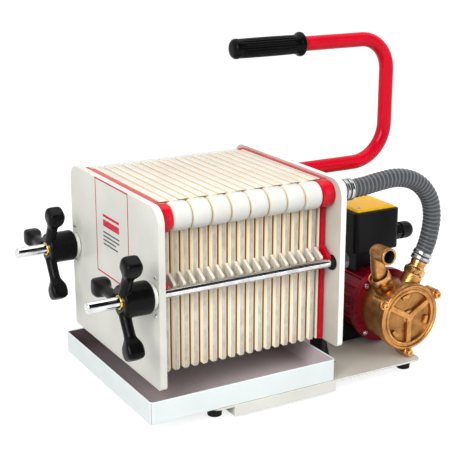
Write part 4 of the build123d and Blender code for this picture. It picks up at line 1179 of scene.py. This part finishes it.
def add_port_fittings():
    """Hexagon union and nozzle under the hose, and the inlet's union nut, stem and open head."""
    bm = bmesh.new()
    way, place = port_way(1), port_point(1, UNION_REACH)
    lathe(bm, [(0, 8.5), (0, 15.2), (2, 15.6), (2.6, 16.4), (3.4, 17.5, 6), (10.6, 17.5, 6),
        (11.4, 16.4), (12.4, 15), (14, 14.6), (14, 8.5)], way, place, 72, wrap=True)
    lathe(bm, [(13.8, 8.5), (13.8, 13), (16, 13), (17, 12), (19, 12), (20, 13), (24.4, 13),
        (25, 12.4), (25, 8.5)], way, place, 60, wrap=True)
    mount(make("hose_nozzle_turned", bm, bronze_turned), "pump_bronze", "hose_nozzle")
    knee, high = port_point(-1, 82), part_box("inlet_elbow")[1]
    head = Vector((knee.x, PORT_Y, (TO_ROW.inverted() @ high).z - 14))
    bm = bmesh.new()
    # Union nut, open at the top, so that a dark groove shows round the stem.
    lathe(bm, [(0, 8.5), (0, 14.6), (1.4, 15.6), (2.6, 16.8), (4, 17.3), (12.4, 17.3), (13.6, 16.9),
        (14, 16), (13.4, 14.9), (6, 14.4), (6, 8.5)], port_way(-1), port_point(-1, UNION_REACH), 72,
        wrap=True)
    parts = [make("union_nut", bm, bronze_turned)]
    bm = bmesh.new()
    start, bend = port_point(-1, 67), []
    for k in range(13):
        t = k / 12
        bend.append(start.lerp(knee, t).lerp(knee.lerp(head, t), t))
    pipe(bm, bend, 11.6, 48)
    lathe(bm, [(-13, 0.4), (-12.3, 4.2), (-10, 8.3), (-6.2, 11.4), (-2, 12.8), (2, 13), (23.6, 13),
        (24.6, 13.6), (28.6, 13.6), (29.6, 13), (30, 12), (30, 10.9), (29.2, 10.05), (3, 10.05),
        (3, 0.4)], PUMP_AXIS, head, 72)
    parts.append(make("elbow_cast", bm, bronze))
    bm = bmesh.new()
    lathe(bm, [(3.1, 10), (29, 10), (29, 9.9), (3.2, 9.9), (3.2, 0.4), (3.1, 0.4)], PUMP_AXIS, head,
        60, wrap=True)
    parts.append(make("elbow_dark", bm, bore_dark))
    mount(join("inlet_elbow_finished", parts), "pump_bronze", "inlet_elbow")


add_pump()
add_port_fittings()


# ---- motor and electrical box

MOTOR_BACK_Y = 75


def add_motor():
    # The casting's rounded edges take the enamel's painted highlight.
    dress("motor_body", "motor_body_cast", motor_enamel, 0.7, 2, "motor_red")
    bm = bmesh.new()
    for turn in (45, 135, 225, 315):
        socket_screw(bm, pump_point(55.5, turn, -75), PUMP_AXIS, 4, 3.6, 2.1)
    mount(make("motor_flange_screws", bm, zinc), "fastener_steel")
    bm, bar = bmesh.new(), bmesh.new()
    lathe(bm, [(0, 0.5), (0, 59.4), (0.6, 60), (24, 60), (29, 58.6), (32.4, 55.2), (34, 50),
        (34, 45), (32.6, 44.2), (32.6, 14), (34, 13), (34, 0.5)], (0, 1, 0),
        (PUMP_X, MOTOR_BACK_Y, PUMP_Z), 96)
    cowl = make("fan_cowl", bm, motor_enamel)
    block(bar, (12.5, -1.6, -1.3), (45, 0.6, 1.3))
    bars = grow("grille", RING, {"Piece": soft_pattern("grille_bar", bar, motor_enamel, 0.6),
        "Count": 24, "Centre": row_at(PUMP_X, MOTOR_BACK_Y + 34, PUMP_Z), "Axis": PUMP_AXIS,
        "Finish": motor_enamel})
    mount(join("fan_cover_pressed", [cowl, bars]), "motor_red", "fan_cover")
    dress("motor_foot", "motor_foot_moulded", foot_rubber, 1.5, 3, "rubber_black")


def gland_grip(angle, height):
    """Grip ribs round the gland's cap nut."""
    return 1 - (0.045 * (0.5 - 0.5 * math.cos(angle * 16)) if 15.5 < height < 30 else 0)


def add_box():
    dress("terminal_box", "terminal_box_moulded", box_abs, 1.6, 4, "box_black")
    dress("box_lid", "box_lid_moulded", lid_abs, 0.9, 3, "lid_yellow")
    low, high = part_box("box_lid")
    bm = bmesh.new()
    for x in (low.x + 0.009, high.x - 0.009):
        for y in (low.y + 0.009, high.y - 0.009):
            place = TO_ROW.inverted() @ Vector((x, y, high.z))
            dome_screw(bm, (place.x, place.y, place.z - 0.3), (0, 0, 1), 3, 1.7, 1.3)
    mount(make("box_lid_screws", bm, zinc), "fastener_steel")
    low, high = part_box("cable_gland")
    place = TO_ROW.inverted() @ Vector((low.x, (low.y + high.y) / 2, (low.z + high.z) / 2))
    bm = bmesh.new()
    lathe(bm, [(0, 0.5), (0, 12), (1, 12), (1.6, 13.8, 6), (12, 13.8, 6), (13, 12), (14, 11.6),
        (14, 13.2), (15, 14), (28, 14), (32, 12.8), (35, 10.6), (36, 9.4), (36, 6.2), (33, 5.6),
        (26, 5.4), (26, 0.5)], (1, 0, 0), place, 96, flute=gland_grip)
    mount(make("cable_gland_moulded", bm, box_abs), "box_black", "cable_gland")


add_motor()
add_box()


# ---- label

def add_label():
    """Plain film label on the pressure plate: a thin red frame line round level stripes."""
    front = 2
    y0, y1, z0, z1 = -58, 56, 187, 330
    film, line, dark = bmesh.new(), bmesh.new(), bmesh.new()
    block(film, (front - 0.12, y0, z0), (front + 0.3, y1, z1))
    for low, high in (((y0, z0), (y1, z0 + 2.4)), ((y0, z1 - 2.4), (y1, z1)),
            ((y0, z0), (y0 + 2.4, z1)), ((y1 - 2.4, z0), (y1, z1)), ((-26, 262), (30, 272)),
            ((-26, 276), (30, 280))):
        block(line, (front - 0.2, low[0], low[1]), (front - 0.1, high[0], high[1]))
    for z, wide in ((252, 56), (246, 56), (240, 44), (234, 50)):
        block(dark, (front - 0.2, 30 - wide, z), (front - 0.1, 30, z + 2.2))
    parts = [make("film", film, plate_paint), make("frame_line", line, label_red),
        make("stripes", dark, label_dark)]
    mount(join("label_film", parts), "painted_off_white", body="press_head")


add_label()


# ---- stage and light

def seen_directly(tree):
    """1 for what the camera sees, also in a mirror or through glass, and else 0."""
    path = node(tree, "ShaderNodeLightPath").outputs
    seen = path["Is Camera Ray"]
    for ray in ("Is Glossy Ray", "Is Transmission Ray"):
        seen = node(tree, "ShaderNodeMath",
            {"operation": "MAXIMUM", 0: seen, 1: path[ray]}).outputs[0]
    return seen


def add_stage():
    """Pale floor that glows for the camera, and keeps a soft shadow."""
    made, tree, _ = start_material("studio_floor_pale")
    dull = node(tree, "ShaderNodeBsdfDiffuse", {"Color": (0.42, 0.42, 0.42, 1)})
    bright = node(tree, "ShaderNodeMapRange", {"Value": seen_directly(tree), "To Max": 0.80})
    glow = node(tree, "ShaderNodeEmission", {"Color": (1, 1, 1, 1), "Strength": bright.outputs[0]})
    both = node(tree, "ShaderNodeAddShader", {0: dull.outputs[0], 1: glow.outputs[0]})
    node(tree, "ShaderNodeOutputMaterial", {"Surface": both.outputs[0]})
    mesh = bpy.data.meshes.new("floor")
    mesh.from_pydata([(-6, -6, 0), (6, -6, 0), (6, 6, 0), (-6, 6, 0)], [], [(0, 1, 2, 3)])
    mesh.materials.append(made)
    put("floor", mesh)


def add_dark_card():
    """Black studio card, bent round the near rod's axis, which only glossy surfaces mirror."""
    bent = arc((-0.15, 0.205), 1.4, 100, 171, 12)
    corners = [(x, y, z) for y, z in bent for x in (-0.9, 2.2)]
    mesh = bpy.data.meshes.new("dark_card")
    mesh.from_pydata(corners, [], [(k, k + 1, k + 3, k + 2) for k in range(0, len(corners) - 2, 2)])
    made, tree, _ = start_material("card_black")
    dull = node(tree, "ShaderNodeBsdfDiffuse", {"Color": (0.01, 0.01, 0.01, 1)})
    node(tree, "ShaderNodeOutputMaterial", {"Surface": dull.outputs[0]})
    mesh.materials.append(made)
    card = put("dark_card", mesh)
    card.visible_camera = card.visible_diffuse = card.visible_shadow = False


def add_lights():
    """White sky and three large soft lamps, aimed at the press."""
    world = bpy.data.worlds.new("studio")
    scene.world = world
    world.use_nodes = True
    tree = world.node_tree
    tree.nodes.clear()
    bright = node(tree, "ShaderNodeMapRange", {"Value": seen_directly(tree), "To Min": 0.58})
    sky = node(tree, "ShaderNodeBackground", {"Color": (1, 1, 1, 1), "Strength": bright.outputs[0]})
    node(tree, "ShaderNodeOutputWorld", {"Surface": sky.outputs[0]})
    for name, place, size, power in (("key", (-1.7, -1.3, 1.5), 1.3, 44.0),
            ("fill", (1.3, -1.9, 1.1), 1.6, 24.0), ("top", (0.1, 0.2, 2.2), 1.8, 12.0)):
        lamp = bpy.data.lights.new(name, "AREA")
        lamp.energy = power
        lamp.size = size
        aim(put(name, lamp), place, Vector((0, 0, 0.2)) - Vector(place))


add_stage()
add_dark_card()
add_lights()
scene.view_settings.view_transform = "Standard"
